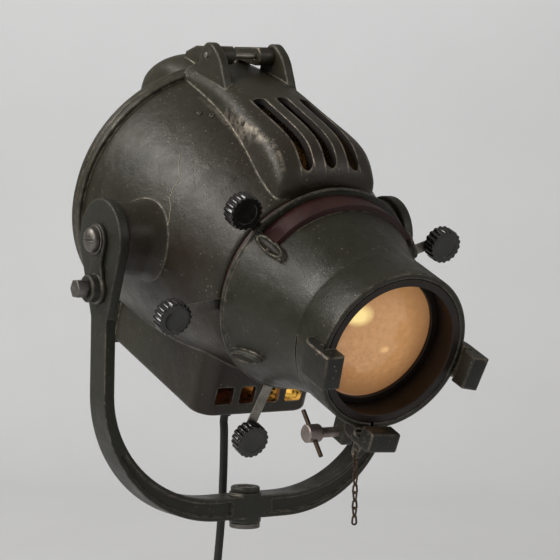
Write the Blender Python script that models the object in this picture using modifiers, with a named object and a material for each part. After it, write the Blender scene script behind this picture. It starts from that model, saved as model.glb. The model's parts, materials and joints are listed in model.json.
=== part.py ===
"""Theatre profile spotlight: cast head with four shutters, lens tube, hinged back and yoke.

Metres, +Z up. The origin is the middle of the foot's flat underside, below the yoke.
The tilt axis runs along X. The head is modelled in lamp coordinates, where x is sideways,
y is up across the beam and z is forward along the beam, with the tilt axis at the origin.
"""

import math

import bmesh
import bpy
from mathutils import Matrix, Vector

# Whole object
PIVOT_HEIGHT = 0.243
REST_TILT = math.radians(20.0)
GAP = 0.0003
WALL = 0.004
# Round pieces that fit in each other have alike sides, so that their flats line up
BARREL_STEPS = 36

# Housing
SEAM_Z = -0.093
SEAM_RADIUS = 0.116
BOWL_RADIUS = 0.112
BOWL_START_Z = -0.085
BOWL_REACH = 0.265
BOWL_FRONT_Z = 0.093
FRONT_OPENING_RADIUS = 0.070
CHIN_HALF_WIDTH = 0.056
CHIN_BOTTOM_Y = -0.134
CHIN_FRONT_Z = 0.062
CHIN_CORNER = 0.018
BOSS_RADIUS = 0.030
BOSS_END_X = 0.1328
SLOT_SPACING = 0.022
SLOT_WIDTH = 0.011
SLOT_BACK_Z = -0.002
SLOT_FRONT_Z = 0.0892
SLOT_FLOOR_Y = 0.076
EAR_X = 0.031
EAR_THICKNESS = 0.008
HINGE_Y = 0.1345
HINGE_Z = -0.067
HINGE_PIN_RADIUS = 0.0025

# Rear cover
COVER_DEPTH = 0.036
COVER_CHIN_BACK_Z = -0.121
COVER_SCREW_Y = -0.1415

# Gate and shutters
DRUM_OUTER_RADIUS = 0.081
DRUM_INNER_RADIUS = 0.0775
DRUM_BACK_Z = 0.0933
DRUM_STEP_Z = 0.1065
SPIGOT_RADIUS = 0.0745
DRUM_FRONT_Z = 0.1295
APERTURE_RADIUS = 0.038
WINDOW_FRONT_Z = 0.1275
WINDOW_HALF_ANGLE = 52.0
GATE_PLATE_Z = 0.1046
BLADE_THICKNESS = 0.0012
BLADE_PITCH = 0.0021
BLADE_HALF_WIDTH = 0.042
BLADE_BACK_RADIUS = 0.076
FIRST_BLADE_Z = 0.0959
TAB_HALF_WIDTH = 0.0045
KNOB_RADIUS = 0.0135
KNOB_HEIGHT = 0.012
KNOB_FLUTES = 18
KNOB_OUT_RADIUS = 0.136
BLADE_EDGE_OUT = 0.0385
# Shutter name, direction round the beam in degrees from +x, knob's distance from the beam axis
SHUTTERS = (
    ("top", 141.0, 0.109),
    ("left", 188.5, 0.131),
    ("bottom", 256.0, 0.135),
    ("right", 19.5, 0.1175),
)

# Snout, lens tube and colour frame clips
LIP_RADIUS = 0.088
LIP_BACK_Z = 0.104
LIP_FRONT_Z = 0.1068
CONE_BACK_RADIUS = 0.0855
CONE_BACK_Z = 0.110
CONE_FRONT_Z = 0.180
COLLAR_RADIUS = 0.066
COLLAR_FRONT_Z = 0.2195
COLLAR_BORE = 0.0610
SLIT_Z = 0.1815
TUBE_OUTER_RADIUS = 0.0606
TUBE_INNER_RADIUS = 0.0575
TUBE_BACK_Z = 0.150
TUBE_FRONT_Z = 0.2192
LENS_RADIUS = 0.0570
LENS_BACK_Z = 0.1818
LENS_EDGE = 0.006
LENS_SAG = 0.0127
CLIP_ANGLES = (("left", 184.0), ("bottom", 266.0), ("right", 350.0))
CLIP_HALF_WIDTH = 0.0135
CLAMP_Y = -0.080
CLAMP_Z = 0.195
CLAMP_HEAD_X = -0.046
TOMMY_LENGTH = 0.042
TOMMY_RADIUS = 0.0018

# Chain of the bottom clip
CHAIN_X = -0.0160
CHAIN_Y = -0.0835
CHAIN_Z = 0.224
LINK_LENGTH = 0.0088
LINK_WIDTH = 0.0052
LINK_WIRE = 0.0008
LINK_COUNT = 9

# Yoke, in world coordinates
ARM_OUTER_X = 0.143
ARM_THICKNESS = 0.009
BAR_HALF_DEPTH = 0.012
CORNER_RADIUS = 0.110
BAR_BOTTOM_Z = 0.009
BAR_TOP_Z = 0.0275
EYE_RADIUS = 0.032
LOCK_DROP = 0.039
HUB_RADIUS = 0.0135
HUB_TOP_Z = 0.0300
BOLT_RADIUS = 0.006

# Lamp inside the head
BULB_RADIUS = 0.024
BULB_TOP_Y = 0.046
BULB_BASE_Y = -0.045

# Cord, which leaves the chin box through a gland
CORD_RADIUS = 0.0035
GLAND_Z = 0.020
BOOT_LENGTH = 0.020
COIL_RADIUS = 0.042
COIL_PITCH = 0.0079
COIL_LOOPS = 3
COIL_TOP = (0.0, 0.046, -0.095)
POINTS_PER_LOOP = 24
TAIL_LENGTH = 0.054


def clear_scene():
    for old in list(bpy.data.objects):
        bpy.data.objects.remove(old, do_unlink=True)


def make_collection(name):
    collection = bpy.data.collections.new(name)
    bpy.context.scene.collection.children.link(collection)
    return collection


clear_scene()
PARTS = make_collection("theatre_spotlight")
CUTTERS = make_collection("cutters")


def make_material(name, colour, roughness, metallic):
    material = bpy.data.materials.new(name)
    material.use_nodes = True
    shader = material.node_tree.nodes["Principled BSDF"]
    shader.inputs["Base Color"].default_value = (*colour, 1.0)
    shader.inputs["Roughness"].default_value = roughness
    shader.inputs["Metallic"].default_value = metallic
    return material


HOUSING_PAINT = make_material("housing_paint", (0.065, 0.066, 0.052), 0.45, 0.3)
YOKE_PAINT = make_material("yoke_paint", (0.045, 0.048, 0.041), 0.5, 0.3)
MAROON_PAINT = make_material("maroon_paint", (0.035, 0.010, 0.010), 0.5, 0.1)
BAKELITE = make_material("bakelite", (0.006, 0.006, 0.006), 0.25, 0.0)
STEEL = make_material("bare_steel", (0.22, 0.20, 0.17), 0.45, 1.0)
BLACK_METAL = make_material("black_metal", (0.02, 0.018, 0.017), 0.6, 0.4)
BRASS = make_material("brass", (0.45, 0.30, 0.10), 0.35, 1.0)
MIRROR = make_material("mirror", (0.80, 0.80, 0.80), 0.08, 1.0)
GLASS = make_material("lens_glass", (0.80, 0.55, 0.28), 0.12, 0.0)
BULB_GLASS = make_material("bulb_glass", (0.90, 0.85, 0.70), 0.05, 0.0)
CERAMIC = make_material("ceramic", (0.75, 0.73, 0.68), 0.4, 0.0)
RUBBER = make_material("black_rubber", (0.012, 0.012, 0.012), 0.6, 0.0)


def make_empty(name, parent=None, location=(0.0, 0.0, 0.0), rotation=(0.0, 0.0, 0.0)):
    empty = bpy.data.objects.new(name, None)
    empty.location = location
    empty.rotation_euler = rotation
    empty.parent = parent
    PARTS.objects.link(empty)
    return empty


FOOT = make_empty("foot_frame")
PAN = make_empty("pan_axis", FOOT)
LAMP = make_empty("tilt_axis", PAN, (0.0, 0.0, PIVOT_HEIGHT), (math.pi / 2 + REST_TILT, 0.0, 0.0))


def lamp_to_world(x, y, z):
    turn = Matrix.Rotation(math.pi / 2 + REST_TILT, 3, "X")
    return turn @ Vector((x, y, z)) + Vector((0.0, 0.0, PIVOT_HEIGHT))


def add_object(name, data, parent, material=None):
    """A piece when it has a material, and otherwise a hidden shape for a Boolean."""
    obj = bpy.data.objects.new(name, data)
    obj.parent = parent
    if material is None:
        CUTTERS.objects.link(obj)
        obj.hide_render = True
        obj.display_type = "WIRE"
    else:
        PARTS.objects.link(obj)
        data.materials.append(material)
    return obj


def on_axis(obj, empty):
    """Hangs a piece drawn in its grandparent's coordinates from an empty on its joint's axis."""
    obj.parent = empty
    obj.location = -empty.location
    return obj


def mesh_of(name, bm):
    mesh = bpy.data.meshes.new(name)
    bm.to_mesh(mesh)
    bm.free()
    return mesh


def combine(obj, operation, *others):
    for other in others:
        modifier = obj.modifiers.new(other.name, "BOOLEAN")
        modifier.operation = operation
        modifier.solver = "EXACT"
        modifier.object = other
    return obj


def join(obj, *others):
    return combine(obj, "UNION", *others)


def cut(obj, *others):
    return combine(obj, "DIFFERENCE", *others)


def round_edges(obj, width, segments=2, angle=40.0):
    modifier = obj.modifiers.new("rounded_edges", "BEVEL")
    modifier.width = width
    modifier.segments = segments
    modifier.limit_method = "ANGLE"
    modifier.angle_limit = math.radians(angle)
    return obj


def smooth(obj, angle=35.0):
    obj.data.shade_smooth()
    obj.data.set_sharp_from_angle(angle=math.radians(angle))
    return obj


def turned(name, profile, parent, material=None, steps=32):
    """Turns (radius, z) points round Z: closed to itself, or a solid when it ends on the axis."""
    points = list(profile)
    pairs = zip(points, points[1:] + points[:1])
    area = sum(a[0] * b[1] - b[0] * a[1] for a, b in pairs)
    if area > 0:
        points.reverse()
    on_the_axis = points[0][0] == 0.0 and points[-1][0] == 0.0
    bm = bmesh.new()
    verts = [bm.verts.new((radius, 0.0, z)) for radius, z in points]
    for first, second in zip(verts, verts[1:]):
        bm.edges.new((first, second))
    if not on_the_axis:
        bm.edges.new((verts[-1], verts[0]))
    obj = add_object(name, mesh_of(name, bm), parent, material)
    screw = obj.modifiers.new("turn", "SCREW")
    screw.axis = "Z"
    screw.steps = steps
    screw.render_steps = steps
    screw.use_merge_vertices = True
    screw.merge_threshold = 0.00002
    screw.use_smooth_shade = True
    return obj


def point_axis(obj, direction):
    """Turns a piece whose own axis is Z so that the axis points along a parent's direction."""
    obj.rotation_euler = Vector((0.0, 0.0, 1.0)).rotation_difference(Vector(direction)).to_euler()
    return obj


def rod(name, start, end, radius, parent, material=None, segments=16, end_radius=None):
    start, end = Vector(start), Vector(end)
    turn = Vector((0.0, 0.0, 1.0)).rotation_difference(end - start).to_matrix().to_4x4()
    bm = bmesh.new()
    bmesh.ops.create_cone(
        bm, cap_ends=True, segments=segments, radius1=radius,
        radius2=radius if end_radius is None else end_radius, depth=(end - start).length,
        matrix=Matrix.Translation((start + end) / 2) @ turn)
    return smooth(add_object(name, mesh_of(name, bm), parent, material))


def block(name, low, high, parent, material=None, rounding=0.0):
    low, high = Vector(low), Vector(high)
    bm = bmesh.new()
    place = Matrix.Translation((low + high) / 2) @ Matrix.Diagonal((*(high - low), 1.0))
    bmesh.ops.create_cube(bm, size=1.0, matrix=place)
    obj = add_object(name, mesh_of(name, bm), parent, material)
    if rounding:
        round_edges(obj, rounding)
    return obj


def curve_mesh(name, curve, matrix=None):
    """The closed mesh of a curve, with its caps welded, moved by a matrix."""
    holder = bpy.data.objects.new(name, curve)
    CUTTERS.objects.link(holder)
    graph = bpy.context.evaluated_depsgraph_get()
    mesh = bpy.data.meshes.new_from_object(holder.evaluated_get(graph))
    bpy.data.objects.remove(holder, do_unlink=True)
    bm = bmesh.new()
    bm.from_mesh(mesh)
    bmesh.ops.remove_doubles(bm, verts=bm.verts, dist=0.000005)
    if matrix is not None:
        bm.transform(matrix)
        if matrix.determinant() < 0:
            bmesh.ops.reverse_faces(bm, faces=bm.faces)
    bm.to_mesh(mesh)
    bm.free()
    mesh.name = name
    return mesh


def flat(name, outline, low, high, parent, material=None, axes="xyz", edge=0.0):
    """A flat outline of (u, v) points, thick from low to high along the third of the axes."""
    curve = bpy.data.curves.new(name, "CURVE")
    curve.dimensions = "2D"
    curve.fill_mode = "BOTH"
    curve.extrude = (high - low) / 2 - edge
    curve.bevel_depth = edge
    curve.bevel_resolution = 0
    spline = curve.splines.new("POLY")
    spline.points.add(len(outline) - 1)
    for point, (u, v) in zip(spline.points, outline):
        point.co = (u, v, 0.0, 1.0)
    spline.use_cyclic_u = True
    place = Matrix.Diagonal((0.0, 0.0, 0.0, 1.0))
    for column, axis in enumerate(axes):
        place["xyz".index(axis)][column] = 1.0
    lift = Matrix.Translation((0.0, 0.0, (low + high) / 2))
    mesh = curve_mesh(name, curve, place @ lift)
    return smooth(add_object(name, mesh, parent, material))


def arc(centre, radius, start, end, steps):
    """Points of an arc in degrees; a radius may be a pair, one for each direction."""
    across, along = radius if isinstance(radius, tuple) else (radius, radius)
    angles = [math.radians(start + (end - start) * i / steps) for i in range(steps + 1)]
    return [(centre[0] + across * math.cos(a), centre[1] + along * math.sin(a)) for a in angles]


def tube(name, points, radius, parent, material=None, resolution=2, closed=False):
    curve = bpy.data.curves.new(name, "CURVE")
    curve.dimensions = "3D"
    curve.bevel_depth = radius
    curve.bevel_resolution = resolution
    curve.use_fill_caps = not closed
    spline = curve.splines.new("POLY")
    spline.points.add(len(points) - 1)
    for point, place in zip(spline.points, points):
        point.co = (*place, 1.0)
    spline.use_cyclic_u = closed
    return smooth(add_object(name, curve_mesh(name, curve), parent, material), 50.0)


def loft(name, sections, parent, material=None, levels=1, sharp_back=True):
    """Skins rings of (x, y, z) points with alike counts and rounds them by subdivision."""
    bm = bmesh.new()
    crease = bm.edges.layers.float.new("crease_edge")
    rings = [[bm.verts.new(point) for point in section] for section in sections]
    for ring, following in zip(rings, rings[1:]):
        for i in range(len(ring)):
            j = (i + 1) % len(ring)
            bm.faces.new((ring[i], ring[j], following[j], following[i]))
    back_cap = bm.faces.new(list(reversed(rings[0])))
    bm.faces.new(rings[-1])
    if sharp_back:
        for edge in back_cap.edges:
            edge[crease] = 1.0
    bmesh.ops.recalc_face_normals(bm, faces=bm.faces)
    obj = add_object(name, mesh_of(name, bm), parent, material)
    rounding = obj.modifiers.new("rounding", "SUBSURF")
    rounding.levels = levels
    rounding.render_levels = levels
    return obj


def bowl_radius(z):
    return BOWL_RADIUS * math.sqrt(1.0 - ((z - BOWL_START_Z) / BOWL_REACH) ** 2)


def bowl_profile(offset, back_z, front_z, steps):
    heights = [back_z + (front_z - back_z) * i / steps for i in range(steps + 1)]
    return [(bowl_radius(z) - offset, z) for z in heights]


# Stations of the louvred hump and of the rear hood, along the beam:
# z, crown height, shoulder x and y, crest x and y, foot x and y, base y
HUMP_STATIONS = (
    (-0.0928, 0.1200, 0.0300, 0.1180, 0.0380, 0.1110, 0.0390, 0.1000, 0.045),
    (-0.0450, 0.1250, 0.0310, 0.1225, 0.0395, 0.1140, 0.0385, 0.1030, 0.045),
    (-0.0180, 0.1248, 0.0320, 0.1215, 0.0410, 0.1120, 0.0395, 0.1000, 0.045),
    (0.0100, 0.1218, 0.0335, 0.1180, 0.0430, 0.1085, 0.0425, 0.0940, 0.045),
    (0.0350, 0.1200, 0.0350, 0.1155, 0.0455, 0.1065, 0.0450, 0.0870, 0.045),
    (0.0580, 0.1175, 0.0370, 0.1125, 0.0485, 0.1045, 0.0478, 0.0800, 0.045),
    (0.0730, 0.1135, 0.0380, 0.1075, 0.0490, 0.0995, 0.0478, 0.0760, 0.045),
    (0.0850, 0.1045, 0.0380, 0.0975, 0.0475, 0.0880, 0.0465, 0.0720, 0.045),
    (0.0950, 0.0910, 0.0370, 0.0860, 0.0440, 0.0790, 0.0430, 0.0700, 0.045),
)
HOOD_STATIONS = (
    (-0.0936, 0.1195, 0.0280, 0.1170, 0.0390, 0.1080, 0.0400, 0.0960, -0.050),
    (-0.1100, 0.1195, 0.0290, 0.1165, 0.0410, 0.1075, 0.0420, 0.0920, -0.050),
    (-0.1240, 0.1170, 0.0300, 0.1135, 0.0420, 0.1050, 0.0430, 0.0860, -0.050),
    (-0.1360, 0.1110, 0.0310, 0.1075, 0.0425, 0.0990, 0.0430, 0.0800, -0.046),
    (-0.1460, 0.1010, 0.0310, 0.0980, 0.0420, 0.0910, 0.0430, 0.0720, -0.035),
    (-0.1525, 0.0880, 0.0300, 0.0860, 0.0400, 0.0820, 0.0410, 0.0660, -0.022),
)


def hump_section(station, shrink=0.0, shift=0.0):
    """One closed ring of a hump; shrink and shift make the same ring of the hollow inside it."""
    place, crown, shoulder_x, shoulder_y, crest_x, crest_y, foot_x, foot_y, base_y = station
    half = [
        (foot_x - shrink, base_y + (shrink if base_y < 0.0 else 0.0)),
        (foot_x - shrink, foot_y - shrink),
        (crest_x - shrink, crest_y - shrink * 0.8),
        (shoulder_x - shrink * 0.5, shoulder_y - shrink),
        (shoulder_x * 0.5, crown - 0.0006 - shrink),
    ]
    ring = half + [(0.0, crown - shrink)] + [(-x, y) for x, y in reversed(half)]
    return [(x, y, place + shift) for x, y in ring]


def ear_outline():
    """A hinge ear seen from the side, as (z, y) points."""
    back_z = HINGE_Z - 0.0085
    return [(back_z + 0.0003, 0.1120), (back_z, 0.1340), (back_z + 0.0010, 0.1390), (back_z + 0.0040, 0.1425),
            (back_z + 0.0090, 0.1440), (-0.0610, 0.1430), (-0.0535, 0.1400), (-0.0470, 0.1355),
            (-0.0405, 0.1285), (-0.0340, 0.1210), (-0.0300, 0.1120)]


def chin_outline(inset):
    """The chin box from above, as (x, z) points, with its two front corners rounded."""
    side_x = CHIN_HALF_WIDTH - CHIN_CORNER
    front_z = CHIN_FRONT_Z - CHIN_CORNER
    radius = CHIN_CORNER - inset
    back_z = SEAM_Z + 0.0002 + inset
    outline = [(CHIN_HALF_WIDTH - inset, back_z)] + arc((side_x, front_z), radius, 0.0, 90.0, 5)
    return outline + arc((-side_x, front_z), radius, 90.0, 180.0, 5) + [(inset - CHIN_HALF_WIDTH, back_z)]


def make_front_housing():
    outer = [(0.0, SEAM_Z), (SEAM_RADIUS, SEAM_Z), (SEAM_RADIUS, SEAM_Z + 0.006),
             (BOWL_RADIUS + 0.001, SEAM_Z + 0.0075)]
    outer += bowl_profile(0.0, -0.083, BOWL_FRONT_Z - 0.0015, 6)
    outer += [(bowl_radius(BOWL_FRONT_Z) - 0.0015, BOWL_FRONT_Z), (0.0, BOWL_FRONT_Z)]
    housing = turned("front_housing", outer, LAMP, HOUSING_PAINT, steps=40)
    hump = loft("hump", [hump_section(s) for s in HUMP_STATIONS], LAMP)
    chin = flat("chin", chin_outline(0.004), CHIN_BOTTOM_Y, -0.055, LAMP, axes="xzy", edge=0.004)
    chin_edge = block("chin_edge", (-CHIN_HALF_WIDTH - 0.003, CHIN_BOTTOM_Y - 0.003, SEAM_Z + 0.0001),
                      (CHIN_HALF_WIDTH + 0.003, -0.055, SEAM_Z + 0.006), LAMP)
    screw_lug = block("screw_lug", (-0.008, COVER_SCREW_Y - 0.007, SEAM_Z + 0.0003),
                      (0.008, CHIN_BOTTOM_Y + 0.003, SEAM_Z + 0.009), LAMP)
    join(housing, hump, chin, chin_edge, screw_lug)
    for side in (-1, 1):
        boss = rod(f"boss_{side}", (side * 0.085, 0, 0), (side * BOSS_END_X, 0, 0), BOSS_RADIUS, LAMP,
                   segments=24)
        flare = rod(f"boss_flare_{side}", (side * 0.092, 0, 0), (side * 0.114, 0, 0), 0.038, LAMP,
                    segments=24, end_radius=BOSS_RADIUS - 0.0005)
        join(housing, flare, boss)
        ear = flat(f"ear_{side}", ear_outline(), side * EAR_X - EAR_THICKNESS / 2,
                   side * EAR_X + EAR_THICKNESS / 2, LAMP, axes="zyx")
        join(housing, ear)
    inner = [(0.0, SEAM_Z - 0.01), (BOWL_RADIUS - 0.0055, SEAM_Z - 0.01)]
    inner += bowl_profile(WALL, -0.080, BOWL_FRONT_Z - WALL, 5)
    inner += [(FRONT_OPENING_RADIUS, BOWL_FRONT_Z - WALL + 0.0002),
              (FRONT_OPENING_RADIUS, BOWL_FRONT_Z + 0.02), (0.0, BOWL_FRONT_Z + 0.02)]
    room = turned("room", inner, LAMP)
    hollow_hump = loft("hollow_hump", [hump_section(HUMP_STATIONS[1], 0.005, -0.011)]
                       + [hump_section(s, 0.005) for s in HUMP_STATIONS[1:6]]
                       + [hump_section(HUMP_STATIONS[6], 0.0065, -0.0025),
                          hump_section(HUMP_STATIONS[7], 0.0080, -0.0045)], LAMP)
    chin_room = flat("chin_room", chin_outline(WALL), CHIN_BOTTOM_Y + WALL, -0.050, LAMP, axes="xzy")
    chin_mouth = block("chin_mouth", (-CHIN_HALF_WIDTH + WALL, CHIN_BOTTOM_Y + WALL, SEAM_Z - 0.01),
                       (CHIN_HALF_WIDTH - WALL, -0.050, SEAM_Z + 0.02), LAMP)
    gate_space = rod("gate_space", (0, 0, BOWL_FRONT_Z), (0, 0, 0.13), 0.0858, LAMP, segments=32)
    cut(housing, room, hollow_hump, chin_room, chin_mouth, gate_space)
    for middle, width in ((-0.034, 0.016), (-0.012, 0.014), (0.012, 0.014), (0.034, 0.016)):
        cut(housing, block(f"chin_vent_{middle}", (middle - width / 2, -0.1225, CHIN_FRONT_Z - 0.010),
                           (middle + width / 2, -0.1075, CHIN_FRONT_Z + 0.004), LAMP))
    end_radius = SLOT_WIDTH / 2
    for index in (-1, 0, 1):
        middle = index * SLOT_SPACING
        outline = arc((middle, SLOT_FRONT_Z - end_radius), end_radius, 0.0, 180.0, 4)
        outline += arc((middle, SLOT_BACK_Z + end_radius), end_radius, 180.0, 360.0, 4)
        cut(housing, flat(f"louvre_{index}", outline, SLOT_FLOOR_Y, 0.150, LAMP, axes="xzy"))
    pin_hole = rod("pin_hole", (-0.05, HINGE_Y, HINGE_Z), (0.05, HINGE_Y, HINGE_Z),
                   HINGE_PIN_RADIUS + GAP, LAMP, segments=16)
    cord_hole = rod("cord_hole", (0, CHIN_BOTTOM_Y - 0.01, GLAND_Z), (0, CHIN_BOTTOM_Y + 0.01, GLAND_Z),
                    0.0068, LAMP)
    cover_screw_hole = rod("housing_screw_hole", (0, COVER_SCREW_Y, SEAM_Z - 0.01),
                           (0, COVER_SCREW_Y, SEAM_Z + 0.02), 0.0023, LAMP, segments=16)
    cut(housing, pin_hole, cord_hole, cover_screw_hole)
    for side in (-1, 1):
        cut(housing, rod(f"bolt_hole_{side}", (side * 0.104, 0, 0), (side * 0.15, 0, 0),
                         BOLT_RADIUS + GAP, LAMP))
    return smooth(housing)


def make_rear_cover():
    back = SEAM_Z - GAP
    dome = [(0.1125 * math.sin(a), back - 0.0072 - COVER_DEPTH * math.cos(a))
            for a in (math.radians(90.0 * i / 7) for i in range(8))]
    outer = [(0.0, dome[0][1])] + dome[1:] + [(SEAM_RADIUS, back - 0.006), (SEAM_RADIUS, back), (0.0, back)]
    cover = turned("rear_cover", outer, LAMP, HOUSING_PAINT, steps=40)
    hood = loft("hood", [hump_section(s) for s in HOOD_STATIONS], LAMP)
    chin = block("cover_chin", (-CHIN_HALF_WIDTH, CHIN_BOTTOM_Y, COVER_CHIN_BACK_Z),
                 (CHIN_HALF_WIDTH, -0.055, back - 0.0002), LAMP, rounding=0.009)
    chin_edge = block("cover_chin_edge", (-CHIN_HALF_WIDTH - 0.003, CHIN_BOTTOM_Y - 0.003, back - 0.006),
                      (CHIN_HALF_WIDTH + 0.003, -0.055, back - 0.0001), LAMP)
    screw_lug = block("cover_screw_lug", (-0.008, COVER_SCREW_Y - 0.007, back - 0.0058),
                      (0.008, CHIN_BOTTOM_Y + 0.003, back - 0.0003), LAMP)
    join(cover, hood, chin, chin_edge, screw_lug)
    arm_outline = [(SEAM_Z - 0.021, 0.1130), (SEAM_Z - 0.020, 0.1205), (SEAM_Z - 0.007, 0.1300),
                   (HINGE_Z, HINGE_Y + 0.0072), (HINGE_Z, HINGE_Y - 0.0072), (-0.0905, 0.1235),
                   (SEAM_Z - 0.0006, 0.1205), (SEAM_Z - 0.0006, 0.1120)]
    for side in (-1, 1):
        near, far = sorted((side * 0.012, side * (EAR_X - EAR_THICKNESS / 2 - 0.0005)))
        join(cover, flat(f"hinge_arm_{side}", arm_outline, near + 0.0001, far - 0.0001, LAMP, axes="zyx"))
        join(cover, rod(f"knuckle_{side}", (near, HINGE_Y, HINGE_Z), (far, HINGE_Y, HINGE_Z), 0.0075, LAMP,
                        segments=20))
    inner_dome = [(0.1085 * math.sin(a), back - 0.0072 - (COVER_DEPTH - WALL) * math.cos(a))
                  for a in (math.radians(90.0 * i / 5) for i in range(6))]
    room = turned("cover_room", [(0.0, inner_dome[0][1])] + inner_dome[1:]
                  + [(0.1085, back + 0.01), (0.0, back + 0.01)], LAMP)
    hood_room = loft("hood_room", [hump_section(HOOD_STATIONS[0], 0.0045, -0.0060)]
                     + [hump_section(s, 0.0045) for s in HOOD_STATIONS[1:3]]
                     + [hump_section(s, 0.0060, 0.0040) for s in HOOD_STATIONS[3:]], LAMP)
    chin_room = block("cover_chin_room", (-CHIN_HALF_WIDTH + WALL, CHIN_BOTTOM_Y + WALL,
                                          COVER_CHIN_BACK_Z + WALL),
                      (CHIN_HALF_WIDTH - WALL, -0.050, back + 0.01), LAMP)
    pin_bore = rod("pin_bore", (-0.05, HINGE_Y, HINGE_Z), (0.05, HINGE_Y, HINGE_Z),
                   HINGE_PIN_RADIUS + GAP, LAMP, segments=16)
    screw_hole = rod("cover_screw_hole", (0, COVER_SCREW_Y, SEAM_Z - 0.02),
                     (0, COVER_SCREW_Y, SEAM_Z + 0.02), 0.0023, LAMP, segments=16)
    cut(cover, room, hood_room, chin_room, pin_bore, screw_hole)
    smooth(cover)
    hinge = make_empty("rear_hinge", LAMP, (0.0, HINGE_Y, HINGE_Z))
    on_axis(cover, hinge)
    rod("hinge_pin", (-0.037, HINGE_Y, HINGE_Z), (0.037, HINGE_Y, HINGE_Z), HINGE_PIN_RADIUS, LAMP,
        STEEL, segments=16)
    head_z = back - 0.0064
    screw_axis = make_empty("cover_screw_axis", LAMP, (0.0, COVER_SCREW_Y, head_z))
    screw = turned("cover_thumbscrew", [(0.0, head_z - 0.011), (0.0060, head_z - 0.011),
                                        (0.0066, head_z - 0.010), (0.0066, head_z - 0.001),
                                        (0.0060, head_z), (0.0020, head_z), (0.0020, head_z + 0.0145),
                                        (0.0, head_z + 0.0145)], LAMP, STEEL, steps=24)
    screw.parent = screw_axis
    screw.location = (0.0, 0.0, -head_z)


def make_gate():
    drum_profile = [(APERTURE_RADIUS, DRUM_BACK_Z), (DRUM_OUTER_RADIUS, DRUM_BACK_Z),
                    (DRUM_OUTER_RADIUS, DRUM_STEP_Z + 0.002), (SPIGOT_RADIUS, DRUM_STEP_Z + 0.002),
                    (SPIGOT_RADIUS, DRUM_FRONT_Z), (SPIGOT_RADIUS - 0.003, DRUM_FRONT_Z),
                    (SPIGOT_RADIUS - 0.003, DRUM_STEP_Z), (DRUM_INNER_RADIUS, DRUM_STEP_Z),
                    (DRUM_INNER_RADIUS, DRUM_BACK_Z + 0.002), (APERTURE_RADIUS, DRUM_BACK_Z + 0.002)]
    drum = turned("gate_drum", drum_profile, LAMP, MAROON_PAINT, steps=BARREL_STEPS)
    low, high = 90.6 - WINDOW_HALF_ANGLE, 89.4 + WINDOW_HALF_ANGLE
    band = arc((0.0, 0.0), 0.0822, low, high, 10) + arc((0.0, 0.0), 0.0725, high, low, 10)
    join(drum, flat("window_band", band, LIP_FRONT_Z + GAP, WINDOW_FRONT_Z - GAP, LAMP))
    for name, angle, _ in SHUTTERS:
        notch = block(f"tab_notch_{name}", (0.070, -TAB_HALF_WIDTH - 0.0015, DRUM_BACK_Z + 0.0022),
                      (0.090, TAB_HALF_WIDTH + 0.0015, GATE_PLATE_Z - 0.0005), LAMP)
        notch.rotation_euler = (0.0, 0.0, math.radians(angle))
        cut(drum, notch)
    turned("gate_plate", [(APERTURE_RADIUS, GATE_PLATE_Z), (DRUM_INNER_RADIUS - GAP, GATE_PLATE_Z),
                          (DRUM_INNER_RADIUS - GAP, GATE_PLATE_Z + 0.0015),
                          (APERTURE_RADIUS, GATE_PLATE_Z + 0.0015)], LAMP, BLACK_METAL,
           steps=BARREL_STEPS)


def knob_outline(centre_x):
    """A fluted grip: the radius rises and falls once for each flute."""
    count = KNOB_FLUTES * 2
    outline = []
    for i in range(count):
        angle = 2.0 * math.pi * i / count
        radius = KNOB_RADIUS - 0.0008 + 0.0006 * math.cos(KNOB_FLUTES * angle)
        outline.append((centre_x + radius * math.cos(angle), radius * math.sin(angle)))
    return outline


def make_shutters():
    """Each shutter is a steel blade with a tab, drawn along +x and turned to its own direction."""
    for index, (name, angle, knob_place) in enumerate(SHUTTERS):
        inward = KNOB_OUT_RADIUS - knob_place
        edge = BLADE_EDGE_OUT - inward
        back_y = math.degrees(math.asin(BLADE_HALF_WIDTH / BLADE_BACK_RADIUS))
        root_y = math.degrees(math.asin(TAB_HALF_WIDTH / BLADE_BACK_RADIUS))
        outline = [(edge, -BLADE_HALF_WIDTH)]
        outline += arc((-inward, 0.0), BLADE_BACK_RADIUS, -back_y, -root_y, 5)
        outline += arc((knob_place, 0.0), TAB_HALF_WIDTH, -90.0, 90.0, 6)
        outline += arc((-inward, 0.0), BLADE_BACK_RADIUS, root_y, back_y, 5)
        outline += [(edge, BLADE_HALF_WIDTH)]
        low = FIRST_BLADE_Z + index * BLADE_PITCH
        axis = make_empty(f"shutter_axis_{name}", LAMP, rotation=(0.0, 0.0, math.radians(angle)))
        flat(f"shutter_blade_{name}", outline, low, low + BLADE_THICKNESS, axis, STEEL)
        knob_back = low + BLADE_THICKNESS + GAP
        flat(f"shutter_knob_{name}", knob_outline(knob_place), knob_back, knob_back + KNOB_HEIGHT, axis,
             BAKELITE, edge=0.0008)


def cone_radius(z):
    """The snout narrows quickly at first and then runs almost parallel, like a bell."""
    share = min(max((z - CONE_BACK_Z) / (CONE_FRONT_Z - CONE_BACK_Z), 0.0), 1.0)
    return COLLAR_RADIUS - 0.0010 + (CONE_BACK_RADIUS - COLLAR_RADIUS + 0.0010) * (1.0 - share) ** 1.5


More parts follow.
